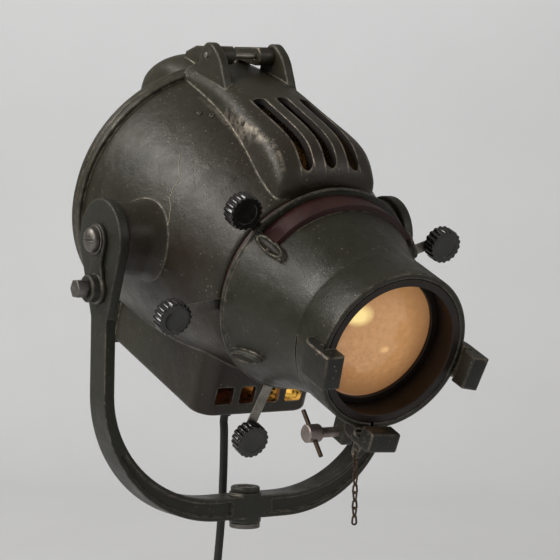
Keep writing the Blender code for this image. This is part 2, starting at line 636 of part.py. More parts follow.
def make_snout():
    stations = [CONE_BACK_Z + (CONE_FRONT_Z - CONE_BACK_Z) * i / 5 for i in range(6)]
    profile = [(LIP_RADIUS, LIP_BACK_Z), (LIP_RADIUS, LIP_FRONT_Z)]
    profile += [(cone_radius(z), z) for z in stations]
    profile += [(COLLAR_RADIUS, CONE_FRONT_Z + 0.003), (COLLAR_RADIUS, COLLAR_FRONT_Z),
                (COLLAR_BORE, COLLAR_FRONT_Z), (COLLAR_BORE, 0.160)]
    profile += [(max(cone_radius(z) - WALL, COLLAR_BORE), z) for z in (0.150, 0.142, 0.135)]
    profile += [(SPIGOT_RADIUS - 0.0010, DRUM_FRONT_Z + 0.0005), (SPIGOT_RADIUS + GAP, DRUM_FRONT_Z + 0.0004),
                (SPIGOT_RADIUS + GAP, DRUM_STEP_Z + 0.0023), (DRUM_OUTER_RADIUS + GAP, DRUM_STEP_Z + 0.0023),
                (DRUM_OUTER_RADIUS + GAP, LIP_BACK_Z)]
    snout = turned("snout", profile, LAMP, HOUSING_PAINT, steps=BARREL_STEPS)
    for index, angle in enumerate((35.0, 145.0, 215.0, 325.0)):
        bm = bmesh.new()
        shape = Matrix.Diagonal((0.0045, 0.0062, 0.0170, 1.0))
        bmesh.ops.create_uvsphere(bm, u_segments=10, v_segments=6, radius=1.0, matrix=shape)
        swell = add_object(f"swell_{index}", mesh_of("swell", bm), LAMP)
        turn = Matrix.Rotation(math.radians(angle), 4, "Z")
        lean = Matrix.Rotation(math.radians(-22.0), 4, "Y")
        swell.matrix_local = turn @ Matrix.Translation((0.0813, 0.0, 0.1250)) @ lean
        join(snout, swell)
    for index, (low, high) in enumerate(((-0.0155, -0.0050), (-0.0020, 0.0085))):
        join(snout, block(f"clamp_lug_{index}", (low, -0.0885, 0.1865), (high, -0.0620, 0.2035), LAMP,
                          rounding=0.0015))
    low, high = 90.0 - WINDOW_HALF_ANGLE, 90.0 + WINDOW_HALF_ANGLE
    window = arc((0.0, 0.0), 0.100, low, high, 8) + arc((0.0, 0.0), 0.0650, high, low, 8)
    cut(snout, flat("window", window, LIP_FRONT_Z, WINDOW_FRONT_Z, LAMP))
    slit = arc((0.0, 0.0), 0.075, 181.0, 268.0, 6) + arc((0.0, 0.0), 0.050, 268.0, 181.0, 6)
    cut(snout, flat("slit", slit, SLIT_Z, SLIT_Z + 0.0025, LAMP))
    cut(snout, block("split", (-0.0050 - 0.00005, -0.095, SLIT_Z + 0.0009), (-0.0020 + 0.00005, -0.050, 0.230),
                     LAMP))
    cut(snout, rod("clamp_hole", (-0.020, CLAMP_Y, CLAMP_Z), (0.020, CLAMP_Y, CLAMP_Z), 0.0043, LAMP))
    return smooth(snout)


def make_lens_tube():
    slide = make_empty("lens_slide", LAMP)
    turned("lens_tube", [(TUBE_OUTER_RADIUS, TUBE_BACK_Z), (TUBE_OUTER_RADIUS, TUBE_FRONT_Z),
                         (0.0545, TUBE_FRONT_Z), (0.0545, TUBE_FRONT_Z - 0.002),
                         (TUBE_INNER_RADIUS, TUBE_FRONT_Z - 0.003), (TUBE_INNER_RADIUS, LENS_BACK_Z - GAP),
                         (0.0530, LENS_BACK_Z - GAP), (0.0530, LENS_BACK_Z - 0.0023),
                         (TUBE_INNER_RADIUS, LENS_BACK_Z - 0.0023), (TUBE_INNER_RADIUS, TUBE_BACK_Z)],
           slide, BLACK_METAL, steps=BARREL_STEPS)
    ball = (LENS_RADIUS ** 2 + LENS_SAG ** 2) / (2.0 * LENS_SAG)
    rim_z = LENS_BACK_Z + LENS_EDGE
    spread = math.degrees(math.asin(LENS_RADIUS / ball))
    face = arc((0.0, rim_z + LENS_SAG - ball), ball, 90.0 - spread, 90.0, 5)
    face[-1] = (0.0, rim_z + LENS_SAG)
    turned("lens", [(0.0, LENS_BACK_Z), (LENS_RADIUS, LENS_BACK_Z)] + face, slide, GLASS,
           steps=BARREL_STEPS)
    turned("lens_ring", [(0.0512, 0.1912), (0.0570, 0.1885), (0.0571, 0.1942), (0.0512, 0.1942)], slide,
           BLACK_METAL, steps=BARREL_STEPS)


def make_clips():
    """Three cast brackets that hold a colour frame in front of the collar."""
    outline = [(0.0635, 0.204), (0.0635, 0.2190), (0.0702, 0.2190), (0.0702, 0.2264), (0.0600, 0.2264),
               (0.0600, 0.2395), (0.0615, 0.2410), (0.0745, 0.2410), (0.0762, 0.2395), (0.0762, 0.2110),
               (0.0715, 0.204)]
    for name, angle in CLIP_ANGLES:
        clip = flat(f"frame_clip_{name}", outline, -CLIP_HALF_WIDTH, CLIP_HALF_WIDTH, LAMP,
                    HOUSING_PAINT, axes="xzy")
        clip.rotation_euler = (0.0, 0.0, math.radians(angle))
        seat = rod(f"clip_seat_{name}", (0, 0, 0.19), (0, 0, COLLAR_FRONT_Z + 0.0002), COLLAR_RADIUS + GAP,
                   LAMP, segments=BARREL_STEPS)
        if name == "bottom":
            eye = arc((CHAIN_Z, CHAIN_Y), 0.0045, 180.0, 360.0, 6)
            ear = flat("chain_ear", [(CHAIN_Z - 0.0045, -0.0735)] + eye + [(CHAIN_Z + 0.0045, -0.0735)],
                       CHAIN_X - 0.001, CHAIN_X + 0.001, LAMP, axes="zyx")
            hole = rod("chain_hole", (CHAIN_X - 0.01, CHAIN_Y, CHAIN_Z), (CHAIN_X + 0.01, CHAIN_Y, CHAIN_Z),
                       0.0022, LAMP, segments=12)
            join(clip, ear)
            cut(clip, hole)
        cut(clip, seat)


def make_clamp_screw():
    """The screw that closes the split collar, with its sliding tommy bar."""
    axis = make_empty("clamp_axis", LAMP, (0.0, CLAMP_Y, CLAMP_Z))
    screw = rod("clamp_screw", (CLAMP_HEAD_X, CLAMP_Y, CLAMP_Z), (CLAMP_HEAD_X + 0.013, CLAMP_Y, CLAMP_Z),
                0.0072, LAMP, STEEL)
    stem = rod("clamp_stem", (CLAMP_HEAD_X + 0.012, CLAMP_Y, CLAMP_Z), (0.0115, CLAMP_Y, CLAMP_Z), 0.0040,
               LAMP)
    reach = Vector((0.0, -0.525, 0.851)) * TOMMY_LENGTH / 2
    middle = Vector((CLAMP_HEAD_X + 0.0065, CLAMP_Y, CLAMP_Z))
    bar_hole = rod("tommy_hole", middle - reach, middle + reach, TOMMY_RADIUS + GAP, LAMP, segments=16)
    join(screw, stem)
    cut(screw, bar_hole)
    bar = rod("tommy_bar", middle - reach, middle + reach, TOMMY_RADIUS, LAMP, STEEL, segments=12)
    for piece in (screw, stem, bar_hole, bar):
        on_axis(piece, axis)


def link_points(centre, sideways):
    """One chain link as a long loop that hangs along -Z, flat across the given direction."""
    straight = (LINK_LENGTH - LINK_WIDTH) / 2
    loop = arc((0.0, straight), LINK_WIDTH / 2 - LINK_WIRE, 0.0, 180.0, 4)
    loop += arc((0.0, -straight), LINK_WIDTH / 2 - LINK_WIRE, 180.0, 360.0, 4)
    return [centre + sideways * u + Vector((0.0, 0.0, v)) for u, v in loop]


def make_chain():
    """A short safety chain whose links sit in each other, hung straight down from the bottom clip."""
    anchor = lamp_to_world(CHAIN_X, CHAIN_Y, CHAIN_Z)
    hang = make_empty("chain_axis", PAN, anchor)
    directions = (Vector((1.0, 0.0, 0.0)), Vector((0.0, 1.0, 0.0)))
    step = LINK_LENGTH - 3.4 * LINK_WIRE
    chain = None
    for index in range(LINK_COUNT):
        centre = anchor - Vector((0.0, 0.0, LINK_LENGTH / 2 - LINK_WIRE + index * step))
        name = "frame_chain" if index == 0 else f"link_{index}"
        material = STEEL if index == 0 else None
        link = tube(name, link_points(centre, directions[index % 2]), LINK_WIRE, PAN, material,
                    resolution=0, closed=True)
        on_axis(link, hang)
        if chain is None:
            chain = link
        else:
            join(chain, link)


def yoke_outline():
    """The bow seen from the front, as (x, z) points from the right arm down and round."""
    arm_top = PIVOT_HEIGHT - 0.030
    corner = (ARM_OUTER_X - CORNER_RADIUS, BAR_BOTTOM_Z + CORNER_RADIUS)
    inner_x = ARM_OUTER_X - ARM_THICKNESS - corner[0]
    inner_z = corner[1] - BAR_TOP_Z
    left = (-corner[0], corner[1])
    outline = [(ARM_OUTER_X, arm_top)] + arc(corner, CORNER_RADIUS, 0.0, -90.0, 9)
    outline += arc(left, CORNER_RADIUS, -90.0, -180.0, 9) + [(-ARM_OUTER_X, arm_top)]
    outline += [(-ARM_OUTER_X + ARM_THICKNESS, arm_top)] + arc(left, (inner_x, inner_z), 180.0, 270.0, 9)
    outline += arc(corner, (inner_x, inner_z), -90.0, 0.0, 9) + [(ARM_OUTER_X - ARM_THICKNESS, arm_top)]
    return outline


def recess_outline(side):
    """The sunk web on the bow's front and back faces, on one side of the hub."""
    corner = (ARM_OUTER_X - CORNER_RADIUS, BAR_BOTTOM_Z + CORNER_RADIUS)
    rim = 0.0038
    outer = arc(corner, CORNER_RADIUS - rim, -28.0, -90.0, 6)
    inner = arc(corner, (ARM_OUTER_X - ARM_THICKNESS - corner[0] + rim, corner[1] - BAR_TOP_Z + rim),
                -90.0, -30.0, 6)
    near_hub = [(HUB_RADIUS + 0.006, BAR_BOTTOM_Z + rim), (HUB_RADIUS + 0.006, BAR_TOP_Z - rim)]
    return [(side * x, z) for x, z in outer + near_hub + inner]


def make_yoke():
    yoke = flat("yoke", yoke_outline(), -BAR_HALF_DEPTH, BAR_HALF_DEPTH, PAN, YOKE_PAINT, axes="xzy")
    eye_angle = 22.0
    for side in (-1, 1):
        low = side * (ARM_OUTER_X - ARM_THICKNESS)
        high = side * ARM_OUTER_X
        eye = arc((0.0, PIVOT_HEIGHT), EYE_RADIUS, -eye_angle, 180.0 + eye_angle, 14)
        eye += [(-BAR_HALF_DEPTH, PIVOT_HEIGHT - 0.062), (BAR_HALF_DEPTH, PIVOT_HEIGHT - 0.062)]
        join(yoke, flat(f"eye_{side}", eye, min(low, high), max(low, high), PAN, axes="yzx"))
        face = side * (BAR_HALF_DEPTH + 0.010)
        for half in (-1, 1):
            web = flat(f"web_{side}_{half}", recess_outline(half), min(face, face - side * 0.0125),
                       max(face, face - side * 0.0125), PAN, axes="xzy")
            cut(yoke, web)
    hub = rod("hub", (0, 0, 0.0046), (0, 0, HUB_TOP_Z), HUB_RADIUS, PAN, segments=24)
    join(yoke, hub)
    cut(yoke, rod("stud_hole", (0, 0, -0.01), (0, 0, 0.05), BOLT_RADIUS + GAP, PAN))
    for side in (-1, 1):
        for label, drop, radius in (("pivot", 0.0, BOLT_RADIUS + GAP), ("lock", LOCK_DROP, 0.0053)):
            height = PIVOT_HEIGHT - drop
            cut(yoke, rod(f"{label}_hole_{side}", (side * 0.12, 0, height), (side * 0.16, 0, height), radius,
                          PAN))
    return smooth(yoke)


def make_foot():
    turned("foot_stud", [(0.0, 0.0), (0.0128, 0.0), (0.0128, 0.0042), (BOLT_RADIUS, 0.0042),
                         (BOLT_RADIUS, 0.0335), (0.0, 0.0335)], FOOT, STEEL, steps=24)
    low = HUB_TOP_Z + 0.0004
    turned("foot_nut", [(BOLT_RADIUS + GAP, low), (0.0122, low), (0.0122, low + 0.0032), (0.0114, low + 0.0040),
                        (BOLT_RADIUS + GAP, low + 0.0040)], FOOT, STEEL, steps=24)


def strap_outline():
    """The link plate between the pivot bolt and the lock screw, as (y, z) points."""
    lower = PIVOT_HEIGHT - LOCK_DROP
    outline = arc((0.0, PIVOT_HEIGHT), 0.0125, -28.0, 208.0, 9)
    outline += [(-0.0072, PIVOT_HEIGHT - 0.018)]
    outline += arc((0.0, lower), 0.0122, 142.0, 398.0, 9)
    return outline + [(0.0072, PIVOT_HEIGHT - 0.018)]


def make_pivots():
    for side, name in ((-1, "left"), (1, "right")):
        inner, outer = ARM_OUTER_X + GAP, ARM_OUTER_X + 0.0038
        strap = flat(f"pivot_strap_{name}", strap_outline(), min(side * inner, side * outer),
                     max(side * inner, side * outer), PAN, YOKE_PAINT, axes="yzx")
        lower = PIVOT_HEIGHT - LOCK_DROP
        join(strap, rod(f"strap_boss_{name}", (side * (ARM_OUTER_X + 0.002), 0, lower),
                        (side * 0.1545, 0, lower), 0.0112, PAN))
        for label, height, radius in (("pivot", PIVOT_HEIGHT, BOLT_RADIUS + GAP), ("lock", lower, 0.0053)):
            cut(strap, rod(f"strap_{label}_{name}", (side * 0.13, 0, height), (side * 0.17, 0, height),
                           radius, PAN))
        washer = turned(f"pivot_washer_{name}", [(BOLT_RADIUS + GAP, 0.0), (0.0118, 0.0), (0.0118, 0.0012),
                                                 (BOLT_RADIUS + GAP, 0.0012)], PAN, STEEL, steps=24)
        washer.location = (side * (outer + GAP), 0.0, PIVOT_HEIGHT)
        point_axis(washer, (side, 0.0, 0.0))
        head_x = outer + 0.0012 + 2 * GAP
        dome = [(0.0100 * math.cos(a), head_x + 0.0022 + 0.0046 * math.sin(a))
                for a in (math.radians(20.0 * i) for i in range(5))]
        bolt = turned(f"pivot_bolt_{name}", [(0.0, 0.1055), (BOLT_RADIUS, 0.1055), (BOLT_RADIUS, head_x),
                                             (0.0100, head_x)] + dome + [(0.0, head_x + 0.0068)],
                      PAN, STEEL, steps=24)
        bolt.location = (0.0, 0.0, PIVOT_HEIGHT)
        point_axis(bolt, (side, 0.0, 0.0))
        lock_axis = make_empty(f"lock_axis_{name}", PAN, (0.0, 0.0, lower))
        screw = rod(f"lock_screw_{name}", (side * 0.1548, 0, lower), (side * 0.1650, 0, lower), 0.0078, PAN,
                    STEEL, segments=6)
        round_edges(screw, 0.0006, segments=1)
        shank = rod(f"lock_shank_{name}", (side * 0.1335, 0, lower), (side * 0.1560, 0, lower), 0.0050, PAN)
        join(screw, shank)
        on_axis(screw, lock_axis)
        on_axis(shank, lock_axis)


def upright(obj, z):
    """Stands a turned piece up across the beam, at a place along it."""
    obj.rotation_euler = (-math.pi / 2, 0.0, 0.0)
    obj.location = (0.0, 0.0, z)
    return obj


def make_lamp():
    crown = arc((0.0, BULB_TOP_Y - BULB_RADIUS), BULB_RADIUS, 0.0, 90.0, 5)
    crown[-1] = (0.0, BULB_TOP_Y)
    upright(turned("lamp_bulb", [(0.0, BULB_BASE_Y), (0.013, BULB_BASE_Y), (BULB_RADIUS, BULB_BASE_Y + 0.014)]
                   + crown, LAMP, BULB_GLASS, steps=24), 0.0)
    cap_top = BULB_BASE_Y - GAP
    upright(turned("lamp_cap", [(0.0, cap_top), (0.0135, cap_top), (0.0135, cap_top - 0.010),
                                (0.0200, cap_top - 0.010), (0.0200, cap_top - 0.0115),
                                (0.0135, cap_top - 0.0115), (0.0135, cap_top - 0.026), (0.0, cap_top - 0.026)],
                   LAMP, BRASS, steps=24), 0.0)
    holder_top = cap_top - 0.026 - GAP
    tray_top = CHIN_BOTTOM_Y + WALL + 0.0028
    upright(turned("lampholder", [(0.0, holder_top), (0.0210, holder_top), (0.0210, holder_top - 0.030),
                                  (0.0180, tray_top + GAP), (0.0, tray_top + GAP)], LAMP, CERAMIC,
                   steps=24), 0.0)
    block("lamp_tray", (-0.040, CHIN_BOTTOM_Y + WALL + GAP, -0.044), (0.040, tray_top, 0.0115), LAMP,
          BLACK_METAL)


def make_reflector():
    """A spun mirror behind the lamp, whose flange rests in the housing."""
    rim_radius, rim_z, back_z = 0.084, -0.030, -0.084
    sheet = 0.0014
    front = [(rim_radius * math.sin(a), rim_z - (rim_z - back_z) * math.cos(a))
             for a in (math.radians(90.0 - 16.0 * i) for i in range(6))]
    rear = [(r + sheet * r / rim_radius, z - sheet * (1.0 - r / rim_radius)) for r, z in reversed(front)]
    flange_radius = bowl_radius(rim_z) - WALL - 0.0012
    profile = front + rear[:-1] + [(rim_radius + sheet, rim_z - sheet), (flange_radius, rim_z - sheet),
                                   (flange_radius, rim_z)]
    turned("reflector", profile, LAMP, MIRROR, steps=28)


def make_gland():
    """Where the cord leaves the chin box: a nut against the wall and a tapering boot."""
    top = CHIN_BOTTOM_Y - GAP
    inside = CHIN_BOTTOM_Y + WALL + 0.0006
    bore = CORD_RADIUS + GAP
    gland = turned("cord_gland", [(bore, -inside), (0.0064, -inside), (0.0064, -top), (0.0098, -top),
                                  (0.0098, -top + 0.0045), (0.0076, -top + 0.0055),
                                  (0.0052, -top + BOOT_LENGTH), (bore, -top + BOOT_LENGTH)], LAMP, RUBBER,
                   steps=24)
    gland.rotation_euler = (math.pi / 2, 0.0, 0.0)
    gland.location = (0.0, 0.0, GLAND_Z)


def smooth_route(points, spacing):
    """Evenly spaced points along a smooth curve through the given ones."""
    ends = [points[0] * 2 - points[1]] + points + [points[-1] * 2 - points[-2]]
    fine = []
    for p0, p1, p2, p3 in zip(ends, ends[1:], ends[2:], ends[3:]):
        for i in range(20):
            t = i / 20
            fine.append(0.5 * (2 * p1 + (p2 - p0) * t + (2 * p0 - 5 * p1 + 4 * p2 - p3) * t * t
                               + (3 * p1 - p0 - 3 * p2 + p3) * t ** 3))
    fine.append(points[-1])
    lengths = [0.0]
    for before, after in zip(fine, fine[1:]):
        lengths.append(lengths[-1] + (after - before).length)
    count = max(2, round(lengths[-1] / spacing))
    even = []
    for i in range(count + 1):
        wanted = lengths[-1] * i / count
        k = max(1, next(j for j, length in enumerate(lengths + [wanted]) if length >= wanted - 1e-12))
        k = min(k, len(fine) - 1)
        share = (wanted - lengths[k - 1]) / (lengths[k] - lengths[k - 1])
        even.append(fine[k - 1].lerp(fine[k], share))
    return even


def cord_route():
    """The free stretch: from the boot's mouth down behind the yoke to the coil."""
    mouth = lamp_to_world(0.0, CHIN_BOTTOM_Y - GAP - BOOT_LENGTH + 0.006, GLAND_Z)
    below = lamp_to_world(0.0, CHIN_BOTTOM_Y - BOOT_LENGTH - 0.006, GLAND_Z)
    start = Vector(COIL_TOP)
    return [mouth, below, Vector((0.0, 0.0350, 0.075)), Vector((0.0, 0.0350, 0.040)),
            Vector((0.0, 0.0370, 0.0)), Vector((0.0, 0.0425, -0.045)), start + Vector((0.0, 0.0, 0.022)),
            start + Vector((0.0, 0.0, GAP))]


def coil_points():
    """Loops that hang in the X-Z plane and step back along +Y, with straight ends."""
    start = Vector(COIL_TOP)
    lead = 2 * CORD_RADIUS
    points = [start]
    total = COIL_LOOPS * POINTS_PER_LOOP
    for i in range(total + 1):
        angle = math.pi + 2 * math.pi * i / POINTS_PER_LOOP
        points.append(start + Vector((COIL_RADIUS * (1.0 + math.cos(angle)), COIL_PITCH * i / POINTS_PER_LOOP,
                                      COIL_RADIUS * math.sin(angle) - lead)))
    points.append(points[-1] - Vector((0.0, 0.0, lead)))
    return points


def least_gap(points):
    """The coil's least distance from its own neighbouring loop, surface to surface."""
    least = 1.0
    for i, point in enumerate(points):
        for other in points[i + POINTS_PER_LOOP // 2:]:
            least = min(least, (point - other).length)
    return least - 2 * CORD_RADIUS


def make_cord():
    tube("cord", smooth_route(cord_route(), 0.008), CORD_RADIUS, PAN, RUBBER, resolution=2)
    loops = coil_points()
    tube("cord_coil", loops, CORD_RADIUS, PAN, RUBBER, resolution=1)
    print("least gap of the coil to itself, mm:", round(least_gap(loops) * 1000, 2))
    end = loops[-1] - Vector((0.0, 0.0, GAP))
    tail_end = end - Vector((0.0, 0.0, TAIL_LENGTH))
    tube("cord_tail", smooth_route([end, (end + tail_end) / 2, tail_end], 0.014), CORD_RADIUS, PAN, RUBBER,
         resolution=2)
    top = tail_end.z - GAP
    plug = turned("plug", [(0.0, top), (0.0062, top), (0.0070, top - 0.012), (0.0150, top - 0.018),
                           (0.0184, top - 0.026), (0.0184, top - 0.046), (0.0172, top - 0.048),
                           (0.0, top - 0.048)], PAN, RUBBER, steps=24)
    plug.location = (end.x, end.y, 0.0)
    for side, name in ((-1, "left"), (1, "right")):
        x = end.x + side * 0.0095
        rod(f"plug_pin_{name}", (x, end.y, top - 0.048 - GAP), (x, end.y, top - 0.067), 0.0024, PAN, BRASS,
            segments=12)


def build():
    make_foot()
    make_yoke()
    make_pivots()
    make_front_housing()
    make_rear_cover()
    make_gate()
    make_shutters()
    make_snout()
    make_lens_tube()
    make_clips()
    make_clamp_screw()
    make_chain()
    make_lamp()
    make_reflector()
    make_gland()
    make_cord()


build()
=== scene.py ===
"""Looks of the theatre spotlight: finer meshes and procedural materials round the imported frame.

Metres, +Z up, origin under the foot. The head is made in lamp coordinates, where x is sideways,
y is up across the beam and z is forward along the beam, and then placed by LAMP_MATRIX.
"""

import json
import math

import bmesh
import bpy
from mathutils import Matrix, Vector

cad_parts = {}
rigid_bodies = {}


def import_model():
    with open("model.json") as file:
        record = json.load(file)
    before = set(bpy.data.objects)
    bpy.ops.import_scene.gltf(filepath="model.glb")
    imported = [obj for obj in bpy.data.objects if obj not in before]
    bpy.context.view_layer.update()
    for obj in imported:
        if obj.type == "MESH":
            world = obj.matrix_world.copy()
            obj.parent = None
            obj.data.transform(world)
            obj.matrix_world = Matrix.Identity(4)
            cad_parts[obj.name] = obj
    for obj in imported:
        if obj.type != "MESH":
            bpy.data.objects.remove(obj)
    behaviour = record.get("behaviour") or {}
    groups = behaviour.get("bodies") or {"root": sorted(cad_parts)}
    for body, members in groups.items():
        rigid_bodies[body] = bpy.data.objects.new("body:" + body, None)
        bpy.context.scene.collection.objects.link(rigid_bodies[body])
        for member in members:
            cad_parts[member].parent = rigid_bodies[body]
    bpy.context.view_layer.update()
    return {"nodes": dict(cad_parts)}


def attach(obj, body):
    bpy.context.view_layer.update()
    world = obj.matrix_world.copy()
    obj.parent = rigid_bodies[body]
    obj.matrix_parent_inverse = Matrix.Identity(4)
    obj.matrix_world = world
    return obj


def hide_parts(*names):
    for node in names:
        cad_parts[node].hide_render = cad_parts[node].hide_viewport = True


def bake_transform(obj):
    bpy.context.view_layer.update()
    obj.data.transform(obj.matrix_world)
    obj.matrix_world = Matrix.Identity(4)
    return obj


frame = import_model()

PIVOT_HEIGHT = 0.243
LOUVRE_PITCH = 0.022
CREST_X = 0.0425
SLOT_RIM_SHARE = 0.282
REST_TILT = math.radians(20.0)
LAMP_MATRIX = Matrix.Translation((0.0, 0.0, PIVOT_HEIGHT)) @ Matrix.Rotation(math.pi / 2 + REST_TILT, 4, "X")
WORLD = Matrix.Identity(4)

# Camera, at the photograph's viewpoint and framed on the spotlight alone
CAMERA_PLACE = Vector((-1.13999, -1.77972, 0.37385))
CAMERA_FORWARD = Vector((0.526227, 0.839769, -0.133692))
CAMERA_RIGHT = Vector((0.848632, -0.528607, 0.019941))
CAMERA_UP = Vector((0.053925, 0.123949, 0.990822))
PHOTO_FOCAL = 1395.75
PHOTO_CENTRE = 280.0
VIEW_CENTRE = (312.0, 203.0)
VIEW_WIDTH = 306.0
SENSOR_WIDTH = 36.0

CUTTERS = bpy.data.collections.new("cutters")
bpy.context.scene.collection.children.link(CUTTERS)
PIECES = bpy.data.collections.new("pieces")
bpy.context.scene.collection.children.link(PIECES)


def line_of_sight(photo_x, photo_y):
    """The direction in which the camera sees a place of the photograph."""
    across = (photo_x - PHOTO_CENTRE) / PHOTO_FOCAL
    down = (photo_y - PHOTO_CENTRE) / PHOTO_FOCAL
    return (CAMERA_FORWARD + across * CAMERA_RIGHT - down * CAMERA_UP).normalized()


def make_camera():
    forward = line_of_sight(*VIEW_CENTRE)
    right = (CAMERA_RIGHT - CAMERA_RIGHT.dot(forward) * forward).normalized()
    up = right.cross(forward)
    turn = Matrix((right, up, -forward)).transposed().to_4x4()
    data = bpy.data.cameras.new("camera")
    data.sensor_width = SENSOR_WIDTH
    data.lens = SENSOR_WIDTH * PHOTO_FOCAL / VIEW_WIDTH
    data.clip_start = 0.05
    data.clip_end = 30.0
    camera = bpy.data.objects.new("camera", data)
    camera.matrix_world = Matrix.Translation(CAMERA_PLACE) @ turn
    bpy.context.scene.collection.objects.link(camera)
    bpy.context.scene.camera = camera


def lamp_to_world(x, y, z):
    return LAMP_MATRIX @ Vector((x, y, z))


def draft(name, mesh):
    """A hidden working object, whose shape bake() turns into a finished piece."""
    obj = bpy.data.objects.new(name, mesh)
    CUTTERS.objects.link(obj)
    obj.hide_render = True
    return obj


def mesh_of(name, bm):
    mesh = bpy.data.meshes.new(name)
    bm.to_mesh(mesh)
    bm.free()
    return mesh


def combine(obj, operation, *others):
    for other in others:
        modifier = obj.modifiers.new(other.name, "BOOLEAN")
        modifier.operation = operation
        modifier.solver = "EXACT"
        modifier.object = other
        if other.data.materials:
            modifier.material_mode = "TRANSFER"
    return obj


def join(obj, *others):
    return combine(obj, "UNION", *others)


def cut(obj, *others):
    return combine(obj, "DIFFERENCE", *others)


def round_edges(obj, width, segments=2, angle=35.0):
    modifier = obj.modifiers.new("rounded_edges", "BEVEL")
    modifier.width = width
    modifier.segments = segments
    modifier.limit_method = "ANGLE"
    modifier.angle_limit = math.radians(angle)
    return obj


def bake(obj, name, body, material, place=LAMP_MATRIX, replaces=(), sharp=32.0):
    """Makes a draft's finished piece, in the row frame, riding on its body where one is given."""
    bpy.context.view_layer.update()
    graph = bpy.context.evaluated_depsgraph_get()
    mesh = bpy.data.meshes.new_from_object(obj.evaluated_get(graph), depsgraph=graph)
    mesh.transform(place @ obj.matrix_world)
    mesh.name = name
    if len(mesh.materials) < 2:
        mesh.materials.clear()
        mesh.materials.append(material)
    mesh.shade_smooth()
    mesh.set_sharp_from_angle(angle=math.radians(sharp))
    piece = bpy.data.objects.new(name, mesh)
    PIECES.objects.link(piece)
    if body:
        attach(piece, body)
    if replaces:
        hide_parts(*replaces)
    return piece


def turned(name, profile, steps=128):
    """Turns (radius, z) points round Z: closed to itself, or a solid when it ends on the axis."""
    points = list(profile)
    area = sum(a[0] * b[1] - b[0] * a[1] for a, b in zip(points, points[1:] + points[:1]))
    if area > 0:
        points.reverse()
    bm = bmesh.new()
    verts = [bm.verts.new((radius, 0.0, z)) for radius, z in points]
    for first, second in zip(verts, verts[1:]):
        bm.edges.new((first, second))
    if points[0][0] or points[-1][0]:
        bm.edges.new((verts[-1], verts[0]))
    obj = draft(name, mesh_of(name, bm))
    screw = obj.modifiers.new("turn", "SCREW")
    screw.axis = "Z"
    screw.steps = steps
    screw.render_steps = steps
    screw.use_merge_vertices = True
    screw.merge_threshold = 0.00002
    return obj


def rod(name, start, end, radius, segments=48, end_radius=None):
    start, end = Vector(start), Vector(end)
    turn = Vector((0.0, 0.0, 1.0)).rotation_difference(end - start).to_matrix().to_4x4()
    bm = bmesh.new()
    bmesh.ops.create_cone(
        bm, cap_ends=True, segments=segments, radius1=radius,
        radius2=radius if end_radius is None else end_radius, depth=(end - start).length,
        matrix=Matrix.Translation((start + end) / 2) @ turn)
    return draft(name, mesh_of(name, bm))


def block(name, low, high, rounding=0.0, segments=3):
    low, high = Vector(low), Vector(high)
    bm = bmesh.new()
    place = Matrix.Translation((low + high) / 2) @ Matrix.Diagonal((*(high - low), 1.0))
    bmesh.ops.create_cube(bm, size=1.0, matrix=place)
    obj = draft(name, mesh_of(name, bm))
    if rounding:
        round_edges(obj, rounding, segments)
    return obj


def flat(name, outline, low, high, axes="xyz", edge=0.0, edge_steps=2):
    """A flat outline of (u, v) points, thick from low to high along the third of the axes."""
    curve = bpy.data.curves.new(name, "CURVE")
    curve.dimensions = "2D"
    curve.fill_mode = "BOTH"
    curve.extrude = (high - low) / 2 - edge
    curve.bevel_depth = edge
    curve.bevel_resolution = edge_steps
    spline = curve.splines.new("POLY")
    spline.points.add(len(outline) - 1)
    for point, (u, v) in zip(spline.points, outline):
        point.co = (u, v, 0.0, 1.0)
    spline.use_cyclic_u = True
    place = Matrix.Diagonal((0.0, 0.0, 0.0, 1.0))
    for column, axis in enumerate(axes):
        place["xyz".index(axis)][column] = 1.0
    return draft(name, curve_mesh(name, curve, place @ Matrix.Translation((0.0, 0.0, (low + high) / 2))))


def curve_mesh(name, curve, matrix=None):
    holder = bpy.data.objects.new(name, curve)
    CUTTERS.objects.link(holder)
    graph = bpy.context.evaluated_depsgraph_get()
    mesh = bpy.data.meshes.new_from_object(holder.evaluated_get(graph))
    bpy.data.objects.remove(holder, do_unlink=True)
    bm = bmesh.new()
    bm.from_mesh(mesh)
    bmesh.ops.remove_doubles(bm, verts=bm.verts, dist=0.000005)
    if matrix is not None:
        bm.transform(matrix)
        if matrix.determinant() < 0:
            bmesh.ops.reverse_faces(bm, faces=bm.faces)
    bm.to_mesh(mesh)
    bm.free()
    mesh.name = name
    return mesh


def arc(centre, radius, start, end, steps):
    """Points of an arc in degrees; a radius may be a pair, one for each direction."""
    across, along = radius if isinstance(radius, tuple) else (radius, radius)
    angles = [math.radians(start + (end - start) * i / steps) for i in range(steps + 1)]
    return [(centre[0] + across * math.cos(a), centre[1] + along * math.sin(a)) for a in angles]


def tube(name, points, radius, resolution=6, closed=False):
    curve = bpy.data.curves.new(name, "CURVE")
    curve.dimensions = "3D"
    curve.bevel_depth = radius
    curve.bevel_resolution = resolution
    curve.use_fill_caps = not closed
    spline = curve.splines.new("POLY")
    spline.points.add(len(points) - 1)
    for point, place in zip(spline.points, points):
        point.co = (*place, 1.0)
    spline.use_cyclic_u = closed
    return draft(name, curve_mesh(name, curve))


